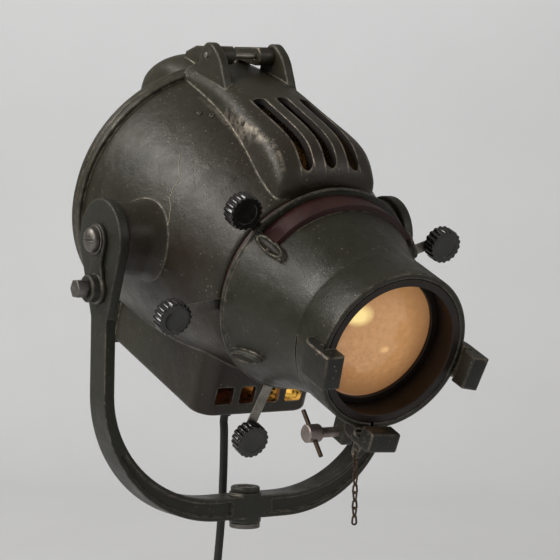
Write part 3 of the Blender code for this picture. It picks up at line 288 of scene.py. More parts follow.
def loft(name, sections, levels=3):
    """Skins rings of (x, y, z) points with alike counts and rounds them by subdivision."""
    bm = bmesh.new()
    crease = bm.edges.layers.float.new("crease_edge")
    rings = [[bm.verts.new(point) for point in section] for section in sections]
    for ring, following in zip(rings, rings[1:]):
        for i in range(len(ring)):
            j = (i + 1) % len(ring)
            bm.faces.new((ring[i], ring[j], following[j], following[i]))
    back_cap = bm.faces.new(list(reversed(rings[0])))
    bm.faces.new(rings[-1])
    for edge in back_cap.edges:
        edge[crease] = 1.0
    bmesh.ops.recalc_face_normals(bm, faces=bm.faces)
    obj = draft(name, mesh_of(name, bm))
    rounding = obj.modifiers.new("rounding", "SUBSURF")
    rounding.levels = levels
    rounding.render_levels = levels
    return obj


# Materials

def node_tools(tree):
    """Short ways to add a node to a tree, and to set or link one of its inputs."""

    def add(kind, inputs=None, **settings):
        node = tree.nodes.new(kind)
        for key, value in settings.items():
            setattr(node, key, value)
        for key, value in (inputs or {}).items():
            put(node.inputs[key], value)
        return node

    def put(socket, value):
        if isinstance(value, bpy.types.NodeSocket):
            tree.links.new(value, socket)
        else:
            socket.default_value = value

    return add, put


def node_kit(name):
    """A new material with its shader and the tools for its node tree."""
    material = bpy.data.materials.new(name)
    material.use_nodes = True
    tree = material.node_tree
    return material, tree.nodes["Principled BSDF"], *node_tools(tree)


def colour(value):
    return (*value, 1.0)


def noise(add, vector, scale, detail=4.0, rough=0.55, distortion=0.0):
    node = add("ShaderNodeTexNoise", {"Vector": vector, "Scale": scale, "Detail": detail,
                                      "Roughness": rough, "Distortion": distortion})
    return node.outputs["Fac"]


def ramp(add, value, low, high, to_low=0.0, to_high=1.0):
    node = add("ShaderNodeMapRange", {"Value": value, "From Min": low, "From Max": high,
                                      "To Min": to_low, "To Max": to_high})
    node.clamp = True
    return node.outputs["Result"]


def maths(add, operation, a, b=0.5, clamp=False):
    node = add("ShaderNodeMath", {0: a, 1: b}, operation=operation)
    node.use_clamp = clamp
    return node.outputs[0]


def times(add, a, b):
    return maths(add, "MULTIPLY", a, b)


def mixed(add, share, a, b, blend="MIX"):
    node = add("ShaderNodeMix", {}, data_type="RGBA", blend_type=blend)
    for socket, value in ((node.inputs[0], share), (node.inputs[6], a), (node.inputs[7], b)):
        if isinstance(value, bpy.types.NodeSocket):
            node.id_data.links.new(value, socket)
        else:
            socket.default_value = value
    return node.outputs[2]


def edge_mask(add, radius, vector, low=0.02, high=0.22):
    """1 along convex and concave edges, where the rounded normal leaves the real one, broken by noise."""
    rounded = add("ShaderNodeBevel", {"Radius": radius}, samples=6)
    real = add("ShaderNodeNewGeometry")
    dot = add("ShaderNodeVectorMath", {0: rounded.outputs[0], 1: real.outputs["Normal"]},
              operation="DOT_PRODUCT")
    away = maths(add, "SUBTRACT", 1.0, dot.outputs["Value"])
    edge = ramp(add, away, low, high)
    chips = ramp(add, noise(add, vector, 130.0, 5.0, 0.7), 0.38, 0.62)
    return times(add, edge, chips), rounded.outputs[0]


def coordinates(add):
    return add("ShaderNodeTexCoord").outputs["Object"]


def lamp_coordinates(add, vector):
    """Splits a place in the row frame into lamp x, y and z."""
    tilt = math.pi / 2 + REST_TILT
    lowered = add("ShaderNodeVectorMath", {0: vector, 1: (0.0, 0.0, PIVOT_HEIGHT)}, operation="SUBTRACT")
    turn = add("ShaderNodeVectorRotate", {"Vector": lowered.outputs[0], "Angle": -tilt},
               rotation_type="X_AXIS")
    split = add("ShaderNodeSeparateXYZ", {0: turn.outputs[0]})
    return split.outputs[0], split.outputs[1], split.outputs[2]


def distance(add, a, b):
    return maths(add, "ABSOLUTE", maths(add, "SUBTRACT", a, b))


def hump_wear_and_highlight(add, place):
    """1 along the hump's two crests and the rims of its slots: paint rubbed by hands and ladders, partly a
    painted highlight where these edges catch the light.
    """
    across, up, forward = lamp_coordinates(add, place)
    across = maths(add, "ABSOLUTE", across)
    top = ramp(add, up, 0.088, 0.100)
    along = times(add, ramp(add, forward, -0.060, 0.010), ramp(add, forward, 0.094, 0.080))
    crest = ramp(add, distance(add, across, CREST_X), 0.0032, 0.0006)
    crest = times(add, crest, along)
    pitches = maths(add, "ADD", maths(add, "DIVIDE", across, LOUVRE_PITCH), 0.5)
    folded = distance(add, maths(add, "FRACT", pitches), 0.5)
    rim = ramp(add, distance(add, folded, SLOT_RIM_SHARE), 0.050, 0.010)
    slots = times(add, ramp(add, across, 0.0310, 0.0290), ramp(add, forward, -0.004, 0.004))
    rim = times(add, rim, times(add, slots, ramp(add, forward, 0.092, 0.088)))
    chips = ramp(add, noise(add, place, 95.0, 6.0, 0.72), 0.44, 0.60)
    both = maths(add, "MAXIMUM", times(add, crest, 0.8), rim)
    return times(add, times(add, both, chips), times(add, top, 0.95))


DUST = (0.20, 0.19, 0.155)


def enamel(name, base, light, dark, metal, rough=0.36, grain=0.55, heat=None, wear=1.0, edge=0.0016,
           rubbed_and_highlit=False):
    """Old baked enamel on a casting: blotches, fine crinkle, specks of bare metal that are partly a painted
    sparkle, chipped edges and heat tint; rubbed hump crests and slot rims are partly a painted highlight.
    """
    material, shader, add, put = node_kit(name)
    place = coordinates(add)
    blotch = noise(add, place, 9.0, 6.0, 0.62)
    tone = mixed(add, ramp(add, blotch, 0.35, 0.68), colour(base), colour(light))
    stain = ramp(add, noise(add, place, 34.0, 7.0, 0.7, 0.4), 0.52, 0.74)
    tone = mixed(add, times(add, stain, 0.75), tone, colour(dark))
    if heat:
        _, up, forward = lamp_coordinates(add, place)
        hot, start, full = heat
        near_gate = ramp(add, forward, start, full)
        patches = ramp(add, noise(add, place, 14.0, 5.0, 0.6), 0.3, 0.6)
        patchy = times(add, near_gate, patches)
        tone = mixed(add, patchy, tone, colour(hot))
    dust = ramp(add, noise(add, place, 420.0, 3.0, 0.75), 0.60, 0.78)
    # Specks of bare metal: pits and dust, partly a painted sparkle of bright dots.
    speck_and_sparkle = add("ShaderNodeTexVoronoi", {"Vector": place, "Scale": 230.0, "Randomness": 1.0})
    speck_and_sparkle = ramp(add, speck_and_sparkle.outputs["Distance"], 0.20, 0.06)
    sparse = ramp(add, noise(add, place, 46.0, 3.0), 0.48, 0.62)
    speck_and_sparkle = times(add, speck_and_sparkle, sparse)
    tone = mixed(add, times(add, dust, 0.16), tone, colour(DUST))
    edges, rounded = edge_mask(add, edge, place, 0.012, 0.13)
    wear_and_glints = maths(add, "ADD", times(add, edges, 0.85 * wear),
                 times(add, speck_and_sparkle, 0.55 * wear), clamp=True)
    # Crests and slot rims of the hump: wear, partly a painted highlight.
    if rubbed_and_highlit:
        wear_and_glints = maths(add, "ADD", wear_and_glints, hump_wear_and_highlight(add, place), clamp=True)
    tone = mixed(add, wear_and_glints, tone, colour(metal))
    put(shader.inputs["Base Color"], tone)
    shine = ramp(add, noise(add, place, 60.0, 5.0, 0.6), 0.3, 0.7, rough - 0.07, rough + 0.12)
    put(shader.inputs["Roughness"], shine)
    put(shader.inputs["Metallic"], times(add, wear_and_glints, 0.75))
    shader.inputs["Specular IOR Level"].default_value = 0.38
    crinkle = noise(add, place, 620.0, 4.0, 0.7)
    lumps = noise(add, place, 75.0, 3.0, 0.5)
    height = maths(add, "ADD", times(add, crinkle, 0.35), lumps)
    height = maths(add, "SUBTRACT", height, times(add, wear_and_glints, 0.35))
    bump = add("ShaderNodeBump", {"Height": height, "Normal": rounded, "Strength": grain,
                                  "Distance": 0.0012})
    put(shader.inputs["Normal"], bump.outputs[0])
    return material


def steel(name, base, rust, rough, edge=0.0006):
    """Turned or sheet steel, dulled, with brown stains and fine scratches."""
    material, shader, add, put = node_kit(name)
    place = coordinates(add)
    dull = ramp(add, noise(add, place, 120.0, 5.0, 0.65), 0.35, 0.68)
    tone = mixed(add, dull, colour(base), colour(tuple(c * 0.62 for c in base)))
    rusty = ramp(add, noise(add, place, 210.0, 6.0, 0.7), 0.54, 0.70)
    tone = mixed(add, times(add, rusty, 0.7), tone, colour(rust))
    edges, rounded = edge_mask(add, edge, place, 0.01, 0.12)
    bared = tuple(min(c * 1.9, 0.8) for c in base)
    tone = mixed(add, times(add, edges, 0.7), tone, colour(bared))
    put(shader.inputs["Base Color"], tone)
    put(shader.inputs["Metallic"], ramp(add, rusty, 0.0, 1.0, 0.95, 0.25))
    put(shader.inputs["Roughness"], ramp(add, noise(add, place, 320.0, 4.0), 0.3, 0.7, rough - 0.1,
                                         rough + 0.14))
    height = noise(add, place, 800.0, 4.0, 0.6)
    bump = add("ShaderNodeBump", {"Height": height, "Normal": rounded, "Strength": 0.12,
                                  "Distance": 0.0006})
    put(shader.inputs["Normal"], bump.outputs[0])
    return material


def plain_gloss(name, base, light, rough, grain=0.05, coat=0.0, scale=160.0):
    """Moulded plastic or rubber with dust in its hollows and uneven gloss."""
    material, shader, add, put = node_kit(name)
    place = coordinates(add)
    dusty = ramp(add, noise(add, place, scale, 6.0, 0.7), 0.45, 0.75)
    put(shader.inputs["Base Color"], mixed(add, times(add, dusty, 0.6), colour(base),
                                           colour(light)))
    put(shader.inputs["Roughness"], ramp(add, dusty, 0.0, 1.0, rough, rough + 0.22))
    shader.inputs["Coat Weight"].default_value = coat
    rounded = add("ShaderNodeBevel", {"Radius": 0.0005}, samples=4)
    bump = add("ShaderNodeBump", {"Height": noise(add, place, scale * 6.0, 3.0), "Normal": rounded.outputs[0],
                                  "Strength": grain, "Distance": 0.0005})
    put(shader.inputs["Normal"], bump.outputs[0])
    return material


# Painted highlights and painted glow spots on the lens: place, stretch and reach, then the ramp, its height and
# the tint
LENS_PAINTED_LIGHT_SPOTS = (
    (0.012, 0.012, 0.8, 0.045, 0.0, 1.0, 0.35, (0.60, 0.32, 0.13)),
    (-0.024, 0.021, 1.5, 0.014, 0.05, 0.65, 1.0, (1.0, 0.76, 0.30)),
    (0.007, -0.008, 1.6, 0.0055, 0.1, 0.9, 0.7, (0.80, 0.48, 0.20)),
)
LENS_PAINTED_GLOW_REACH = 0.062


def lens_with_painted_glow():
    """Pressed glass with painted light: a painted glow, brightest near the lamp's image and amber towards the
    rim, painted highlights, and a pale painted reflection low on the left.
    """
    material, shader, add, put = node_kit("lens_glass_painted_glow")
    place = coordinates(add)
    across, up, _ = lamp_coordinates(add, place)
    cloudy = noise(add, place, 40.0, 5.0, 0.6, 0.6)
    mottle = noise(add, place, 210.0, 5.0, 0.7)

    def near(spot_x, spot_y, stretch, reach):
        """How close a place on the glass is to a spot, 1 at its middle and 0 at its reach."""
        dx = maths(add, "SUBTRACT", across, spot_x)
        dy = times(add, maths(add, "SUBTRACT", up, spot_y), stretch)
        squares = maths(add, "ADD", times(add, dx, dx), times(add, dy, dy))
        far = maths(add, "ADD", maths(add, "SQRT", squares),
                    times(add, maths(add, "SUBTRACT", cloudy, 0.5), 0.012))
        return ramp(add, far, reach, 0.0)

    # Painted glow: bright towards the middle of the glass, darker amber towards the rim.
    middle = near(0.0, 0.0, 1.0, LENS_PAINTED_GLOW_REACH)
    rim = ramp(add, middle, 0.0, 0.55)
    glass_tone_and_painted_glow = mixed(add, rim, colour((0.150, 0.070, 0.030)), colour((0.470, 0.235, 0.095)))
    glass_tone_and_painted_glow = mixed(add, ramp(add, mottle, 0.36, 0.64, 0.0, 0.55), glass_tone_and_painted_glow, colour((0.260, 0.120, 0.045)))
    # Painted reflection: a pale pinkish band low on the left of the lens.
    painted_reflection = times(add, ramp(add, middle, 0.19, 0.13), ramp(add, up, -0.016, -0.030))
    painted_reflection = times(add, painted_reflection, ramp(add, across, 0.010, -0.012))
    glass_tone_and_painted_glow = mixed(add, times(add, painted_reflection, 0.6), glass_tone_and_painted_glow, colour((0.42, 0.32, 0.27)))
    # Painted highlights and glow spots on the glass.
    for spot_x, spot_y, stretch, reach, low, high, height, tint in LENS_PAINTED_LIGHT_SPOTS:
        share = ramp(add, near(spot_x, spot_y, stretch, reach), low, high, 0.0, height)
        glass_tone_and_painted_glow = mixed(add, share, glass_tone_and_painted_glow, colour(tint))
    specks = add("ShaderNodeTexVoronoi", {"Vector": place, "Scale": 260.0})
    specks = ramp(add, specks.outputs["Distance"], 0.10, 0.04)
    specks = times(add, specks, ramp(add, noise(add, place, 90.0, 2.0), 0.50, 0.60))
    glass_tone_and_painted_glow = mixed(add, times(add, specks, 0.4), glass_tone_and_painted_glow, colour((0.78, 0.56, 0.34)))
    put(shader.inputs["Base Color"], mixed(add, 0.45, glass_tone_and_painted_glow, colour((0.16, 0.10, 0.055))))
    # The glass colour with its painted glow and highlights is also the lens's emission, so the glass glows by
    # itself.
    put(shader.inputs["Emission Color"], glass_tone_and_painted_glow)
    shader.inputs["Emission Strength"].default_value = 0.80
    shader.inputs["Coat Weight"].default_value = 0.6
    shader.inputs["Coat Roughness"].default_value = 0.04
    put(shader.inputs["Roughness"], ramp(add, cloudy, 0.3, 0.7, 0.14, 0.30))
    bump = add("ShaderNodeBump", {"Height": noise(add, place, 180.0, 3.0), "Strength": 0.04,
                                  "Distance": 0.0008})
    put(shader.inputs["Normal"], bump.outputs[0])
    return material


def glass(name, tint, glow=None):
    material, shader, add, put = node_kit(name)
    place = coordinates(add)
    smear = ramp(add, noise(add, place, 70.0, 5.0, 0.6), 0.4, 0.7)
    put(shader.inputs["Base Color"], mixed(add, smear, colour(tint), colour(tuple(c * 0.85 for c in tint))))
    put(shader.inputs["Roughness"], ramp(add, smear, 0.0, 1.0, 0.03, 0.12))
    shader.inputs["Transmission Weight"].default_value = 0.9
    if glow:
        shader.inputs["Emission Color"].default_value = colour(glow)
        shader.inputs["Emission Strength"].default_value = 0.6
    return material


def lamp_spill(material):
    """Warm light from the lamp that falls on the floor and side of the chin, behind its windows."""
    shader = material.node_tree.nodes["Principled BSDF"]
    add, put = node_tools(material.node_tree)
    place = coordinates(add)
    across, up, forward = lamp_coordinates(add, place)
    low = times(add, ramp(add, up, -0.100, -0.118), ramp(add, forward, 0.012, 0.026))
    right = ramp(add, across, 0.004, 0.048, 0.03, 1.0)
    patchy = ramp(add, noise(add, place, 62.0, 3.0, 0.6), 0.42, 0.62)
    share = times(add, times(add, low, right), patchy)
    warm = mixed(add, right, colour((0.50, 0.10, 0.03)), colour((1.0, 0.56, 0.10)))
    put(shader.inputs["Emission Color"], mixed(add, share, colour((0.0, 0.0, 0.0)), warm))
    shader.inputs["Emission Strength"].default_value = 0.95


def floor_material(name, tone):
    material, shader, add, put = node_kit(name)
    place = coordinates(add)
    cloudy = ramp(add, noise(add, place, 2.2, 5.0, 0.6), 0.3, 0.7)
    put(shader.inputs["Base Color"], mixed(add, cloudy, colour(tone), colour(tuple(c * 0.95 for c in tone))))
    shader.inputs["Roughness"].default_value = 0.85
    bump = add("ShaderNodeBump", {"Height": noise(add, place, 30.0, 5.0), "Strength": 0.05,
                                  "Distance": 0.004})
    put(shader.inputs["Normal"], bump.outputs[0])
    return material


HEAT_BROWN = (0.0200, 0.0125, 0.0088)
HOUSING = enamel("housing_enamel", (0.0180, 0.0170, 0.0100), (0.029, 0.0275, 0.0165), (0.009, 0.0074, 0.0050),
                 (0.34, 0.30, 0.245), heat=(HEAT_BROWN, -0.030, 0.070), edge=0.0028, rubbed_and_highlit=True)
SNOUT_ENAMEL = enamel("snout_enamel", (0.0120, 0.0121, 0.0068), (0.020, 0.0200, 0.0118),
                      (0.008, 0.0070, 0.0044), (0.30, 0.27, 0.22), edge=0.0026)
YOKE_ENAMEL = enamel("yoke_enamel", (0.0145, 0.0150, 0.0102), (0.0215, 0.0220, 0.0150),
                     (0.009, 0.0084, 0.0062), (0.22, 0.20, 0.165), rough=0.40, edge=0.0024)
MAROON = enamel("maroon_enamel", (0.022, 0.0042, 0.0040), (0.032, 0.0070, 0.0062), (0.009, 0.003, 0.003),
                (0.14, 0.09, 0.065), rough=0.50, wear=0.5, edge=0.0008)
BLACK_METAL = enamel("black_finish", (0.016, 0.014, 0.013), (0.028, 0.023, 0.021), (0.010, 0.009, 0.008),
                     (0.10, 0.085, 0.07), rough=0.52, wear=0.4, edge=0.0006)
BAKELITE = plain_gloss("bakelite_black", (0.004, 0.004, 0.004), (0.013, 0.012, 0.011), 0.14, coat=0.3)
RUBBER = plain_gloss("rubber_black", (0.006, 0.006, 0.0065), (0.015, 0.0145, 0.014), 0.50, grain=0.15)
STEEL = steel("dull_steel", (0.30, 0.28, 0.25), (0.085, 0.050, 0.030), 0.42)
DARK_STEEL = steel("dark_steel", (0.19, 0.18, 0.165), (0.055, 0.040, 0.030), 0.40)
BRASS = steel("old_brass", (0.46, 0.31, 0.11), (0.16, 0.09, 0.035), 0.34)
WORN_STEEL = steel("worn_pale_steel", (0.34, 0.29, 0.27), (0.12, 0.075, 0.055), 0.46)
RUSTY_STEEL = steel("rusty_wire", (0.085, 0.062, 0.046), (0.060, 0.030, 0.016), 0.55)
TUBE_BLACK = enamel("tube_black", (0.007, 0.0052, 0.0042), (0.018, 0.0100, 0.0062), (0.004, 0.0034, 0.003),
                    (0.065, 0.040, 0.024), rough=0.44, wear=0.4, edge=0.0007)
CLIP_ENAMEL = enamel("clip_enamel", (0.0075, 0.0078, 0.0056), (0.014, 0.014, 0.0100), (0.005, 0.0045, 0.0036),
                     (0.28, 0.235, 0.18), rough=0.42, wear=1.5, edge=0.0034)
# Near-black inside of the lamp house: painted shade, with the lamp's warm spill added to it below.
INSIDE_SHADE = enamel("inside_painted_shade", (0.005, 0.004, 0.0036), (0.011, 0.007, 0.0055), (0.003, 0.003, 0.003),
              (0.05, 0.03, 0.02), rough=0.66, wear=0.15, edge=0.0006)
lamp_spill(INSIDE_SHADE)
BARE_PAINT = enamel("bared_primer", (0.26, 0.23, 0.17), (0.36, 0.32, 0.25), (0.13, 0.11, 0.08),
                    (0.40, 0.36, 0.30), rough=0.55, wear=0.3, edge=0.0003)
MIRROR_METAL = steel("spun_mirror", (0.46, 0.43, 0.38), (0.20, 0.13, 0.08), 0.22)
CERAMIC = plain_gloss("old_ceramic", (0.70, 0.67, 0.60), (0.45, 0.40, 0.33), 0.45)
LENS_PAINTED_GLOW = lens_with_painted_glow()
BULB_GLASS = glass("bulb_clear", (0.95, 0.90, 0.78), glow=(1.0, 0.55, 0.20))

make_camera()


# Cord, its coil and its plug, on the same route as the CAD tubes

CORD_RADIUS = 0.0035
CHIN_BOTTOM_Y = -0.134
GLAND_Z = 0.020
BOOT_LENGTH = 0.020
GAP = 0.0003
COIL_RADIUS = 0.042
COIL_PITCH = 0.0079
COIL_LOOPS = 3
COIL_TOP = Vector((0.0, 0.046, -0.095))
TAIL_LENGTH = 0.054


def curve_point(p0, p1, p2, p3, t):
    """A point of the smooth curve from p1 to p2, whose neighbours are p0 and p3."""
    return 0.5 * (2 * p1 + (p2 - p0) * t + (2 * p0 - 5 * p1 + 4 * p2 - p3) * t * t
                  + (3 * p1 - p0 - 3 * p2 + p3) * t ** 3)


def smooth_route(points, spacing):
    """Evenly spaced points along a smooth curve through the given ones."""
    ends = [points[0] * 2 - points[1]] + points + [points[-1] * 2 - points[-2]]
    fine = []
    for four in zip(ends, ends[1:], ends[2:], ends[3:]):
        fine += [curve_point(*four, i / 20) for i in range(20)]
    fine.append(points[-1])
    even = [fine[0]]
    for point in fine:
        if (point - even[-1]).length >= spacing:
            even.append(point)
    if (fine[-1] - even[-1]).length < spacing * 0.5 and len(even) > 1:
        even.pop()
    return even + [fine[-1]]


def cord_route():
    mouth = lamp_to_world(0.0, CHIN_BOTTOM_Y - GAP - BOOT_LENGTH + 0.006, GLAND_Z)
    below = lamp_to_world(0.0, CHIN_BOTTOM_Y - BOOT_LENGTH - 0.006, GLAND_Z)
    return [mouth, below, Vector((0.0, 0.0350, 0.075)), Vector((0.0, 0.0350, 0.040)),
            Vector((0.0, 0.0370, 0.0)), Vector((0.0, 0.0425, -0.045)), COIL_TOP + Vector((0.0, 0.0, 0.022)),
            COIL_TOP + Vector((0.0, 0.0, GAP))]


def coil_route(points_per_loop=36):
    lead = 2 * CORD_RADIUS
    points = [COIL_TOP.copy()]
    for i in range(COIL_LOOPS * points_per_loop + 1):
        angle = math.pi + 2 * math.pi * i / points_per_loop
        points.append(COIL_TOP + Vector((COIL_RADIUS * (1.0 + math.cos(angle)),
                                         COIL_PITCH * i / points_per_loop,
                                         COIL_RADIUS * math.sin(angle) - lead)))
    points.append(points[-1] - Vector((0.0, 0.0, lead)))
    return points


def make_cord():
    """The free stretch, which on the lamp bends as the head tilts, is a fixed piece apart from the coil and the
    tail.
    """
    free = smooth_route(cord_route(), 0.002)
    loops = coil_route()
    end = loops[-1]
    tail = [end - Vector((0.0, 0.0, TAIL_LENGTH * i / 8 + GAP)) for i in range(9)]
    hanging = bake(tube("cord_hanging_draft", free, CORD_RADIUS), "cord_hanging", None, RUBBER, WORLD,
                   ("cord",))
    coil = bake(tube("cord_put_away_draft", loops + tail[1:], CORD_RADIUS), "cord_put_away", "yoke", RUBBER,
                WORLD, ("cord_coil", "cord_tail"))
    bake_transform(hanging)
    make_plug()


# Head sizes, as in the CAD part

SEAM_Z = -0.093
SEAM_RADIUS = 0.116
BOWL_FRONT_Z = 0.093
WALL = 0.004
CHIN_HALF_WIDTH = 0.056
CHIN_FRONT_Z = 0.062
CHIN_CORNER = 0.018
HINGE_Y = 0.1345
HINGE_Z = -0.067
EAR_X = 0.031
COVER_SCREW_Y = -0.1415
SHUTTERS = (("top", 141.0, 0.109), ("left", 188.5, 0.131), ("bottom", 256.0, 0.135), ("right", 19.5, 0.1175))
KNOB_RADIUS = 0.0135
KNOB_FLUTES = 18
CHIN_VENTS = ((-0.034, 0.016), (-0.012, 0.014), (0.012, 0.014), (0.034, 0.016))
LOUVRE_RADIUS = 0.0055
LOUVRE_FRONT_Z = 0.0837
LOUVRE_BACK_Z = 0.0035
BOLT_HOLE_RADIUS = 0.0063
LOCK_HOLE_RADIUS = 0.0053
PIN_RADIUS = 0.0025
PIN_BORE_RADIUS = 0.0028
SCREW_HOLE_RADIUS = 0.0023
CLAMP_Y = -0.080
CLAMP_Z = 0.195
CLAMP_HEAD_X = -0.046
CHAIN_PLACE = (-0.0160, -0.0835, 0.224)

# Stations of the louvred hump and of the rear hood, along the beam:
# z, crown height, shoulder x and y, crest x and y, foot x and y, base y
HUMP_STATIONS = (
    (-0.0928, 0.1200, 0.0300, 0.1180, 0.0380, 0.1110, 0.0390, 0.1000, 0.045),
    (-0.0450, 0.1250, 0.0310, 0.1225, 0.0395, 0.1140, 0.0385, 0.1030, 0.045),
    (-0.0180, 0.1248, 0.0320, 0.1215, 0.0410, 0.1120, 0.0395, 0.1000, 0.045),
    (0.0100, 0.1218, 0.0335, 0.1180, 0.0430, 0.1085, 0.0425, 0.0940, 0.045),
    (0.0350, 0.1200, 0.0350, 0.1155, 0.0455, 0.1065, 0.0450, 0.0870, 0.045),
    (0.0580, 0.1175, 0.0370, 0.1125, 0.0485, 0.1045, 0.0478, 0.0800, 0.045),
    (0.0730, 0.1135, 0.0380, 0.1075, 0.0490, 0.0995, 0.0478, 0.0760, 0.045),
    (0.0850, 0.1045, 0.0380, 0.0975, 0.0475, 0.0880, 0.0465, 0.0720, 0.045),
    (0.0950, 0.0910, 0.0370, 0.0860, 0.0440, 0.0790, 0.0430, 0.0700, 0.045),
)
HOOD_STATIONS = (
    (-0.0936, 0.1195, 0.0280, 0.1170, 0.0390, 0.1080, 0.0400, 0.0960, -0.050),
    (-0.1100, 0.1195, 0.0290, 0.1165, 0.0410, 0.1075, 0.0420, 0.0920, -0.050),
    (-0.1240, 0.1170, 0.0300, 0.1135, 0.0420, 0.1050, 0.0430, 0.0860, -0.050),
    (-0.1360, 0.1110, 0.0310, 0.1075, 0.0425, 0.0990, 0.0430, 0.0800, -0.046),
    (-0.1460, 0.1010, 0.0310, 0.0980, 0.0420, 0.0910, 0.0430, 0.0720, -0.035),
    (-0.1525, 0.0880, 0.0300, 0.0860, 0.0400, 0.0820, 0.0410, 0.0660, -0.022),
)


def bowl_profile(offset, back_z, front_z, steps):
    heights = [back_z + (front_z - back_z) * i / steps for i in range(steps + 1)]
    return [(0.112 * math.sqrt(1.0 - ((z + 0.085) / 0.265) ** 2) - offset, z) for z in heights]


def hump_section(station, shrink=0.0, shift=0.0):
    """One closed ring of a hump; shrink and shift make the same ring of the hollow inside it."""
    place, crown, shoulder_x, shoulder_y, crest_x, crest_y, foot_x, foot_y, base_y = station
    half = [
        (foot_x - shrink, base_y + (shrink if base_y < 0.0 else 0.0)),
        (foot_x - shrink, foot_y - shrink),
        (crest_x - shrink, crest_y - shrink * 0.8),
        (shoulder_x - shrink * 0.5, shoulder_y - shrink),
        (shoulder_x * 0.5, crown - 0.0006 - shrink),
    ]
    ring = half + [(0.0, crown - shrink)] + [(-x, y) for x, y in reversed(half)]
    return [(x, y, place + shift) for x, y in ring]


def chin_outline(inset):
    side_x = CHIN_HALF_WIDTH - CHIN_CORNER
    front_z = CHIN_FRONT_Z - CHIN_CORNER
    back_z = SEAM_Z + 0.0002 + inset
    outline = [(CHIN_HALF_WIDTH - inset, back_z)] + arc((side_x, front_z), CHIN_CORNER - inset, 0.0, 90.0, 14)
    outline += arc((-side_x, front_z), CHIN_CORNER - inset, 90.0, 180.0, 14)
    return outline + [(inset - CHIN_HALF_WIDTH, back_z)]


def rounded_box(centre, half, radius, steps=5):
    """A rectangle with round corners, as (u, v) points."""
    outline = []
    for quarter, (side, up) in enumerate(((1, 1), (-1, 1), (-1, -1), (1, -1))):
        corner = (centre[0] + side * (half[0] - radius), centre[1] + up * (half[1] - radius))
        outline += arc(corner, radius, 90.0 * quarter, 90.0 * quarter + 90.0, steps)
    return outline


def softened(outline, steps=4):
    """The same closed outline drawn as a smooth curve through its points."""
    count = len(outline)
    fine = []
    for i in range(count):
        four = [Vector(outline[(i + k) % count]) for k in (-1, 0, 1, 2)]
        fine += [tuple(curve_point(*four, step / steps)) for step in range(steps)]
    return fine


def along_x(obj, middle=(0.0, 0.0, 0.0), side=1):
    """Lays a piece turned round Z along X instead, at a place; its own +Z points to that side."""
    obj.matrix_world = Matrix.Translation(middle) @ Matrix.Rotation(side * math.pi / 2, 4, "Y")
    return obj


def turn_about_beam(angle):
    return Matrix.Rotation(math.radians(angle), 4, "Z")


def spun(obj, angle):
    obj.matrix_world = turn_about_beam(angle)
    return obj


def inside(obj):
    """Marks a cutter, so that the faces it leaves take the near-black painted shade of the lamp house's inside.
    """
    obj.data.materials.append(INSIDE_SHADE)
    return obj


def ear_outline():
    back_z = HINGE_Z - 0.0085
    return softened([(back_z + 0.0003, 0.1120), (back_z, 0.1340), (back_z + 0.0010, 0.1390),
                     (back_z + 0.0040, 0.1425), (back_z + 0.0090, 0.1440), (-0.0610, 0.1430),
                     (-0.0535, 0.1400), (-0.0470, 0.1355), (-0.0405, 0.1285), (-0.0340, 0.1210),
                     (-0.0300, 0.1120)])


def hinge_rod(name, half_length, radius):
    return rod(name, (-half_length, HINGE_Y, HINGE_Z), (half_length, HINGE_Y, HINGE_Z), radius)


def cover_screw_hole(name, back_z):
    return rod(name, (0, COVER_SCREW_Y, back_z), (0, COVER_SCREW_Y, SEAM_Z + 0.02), SCREW_HOLE_RADIUS)


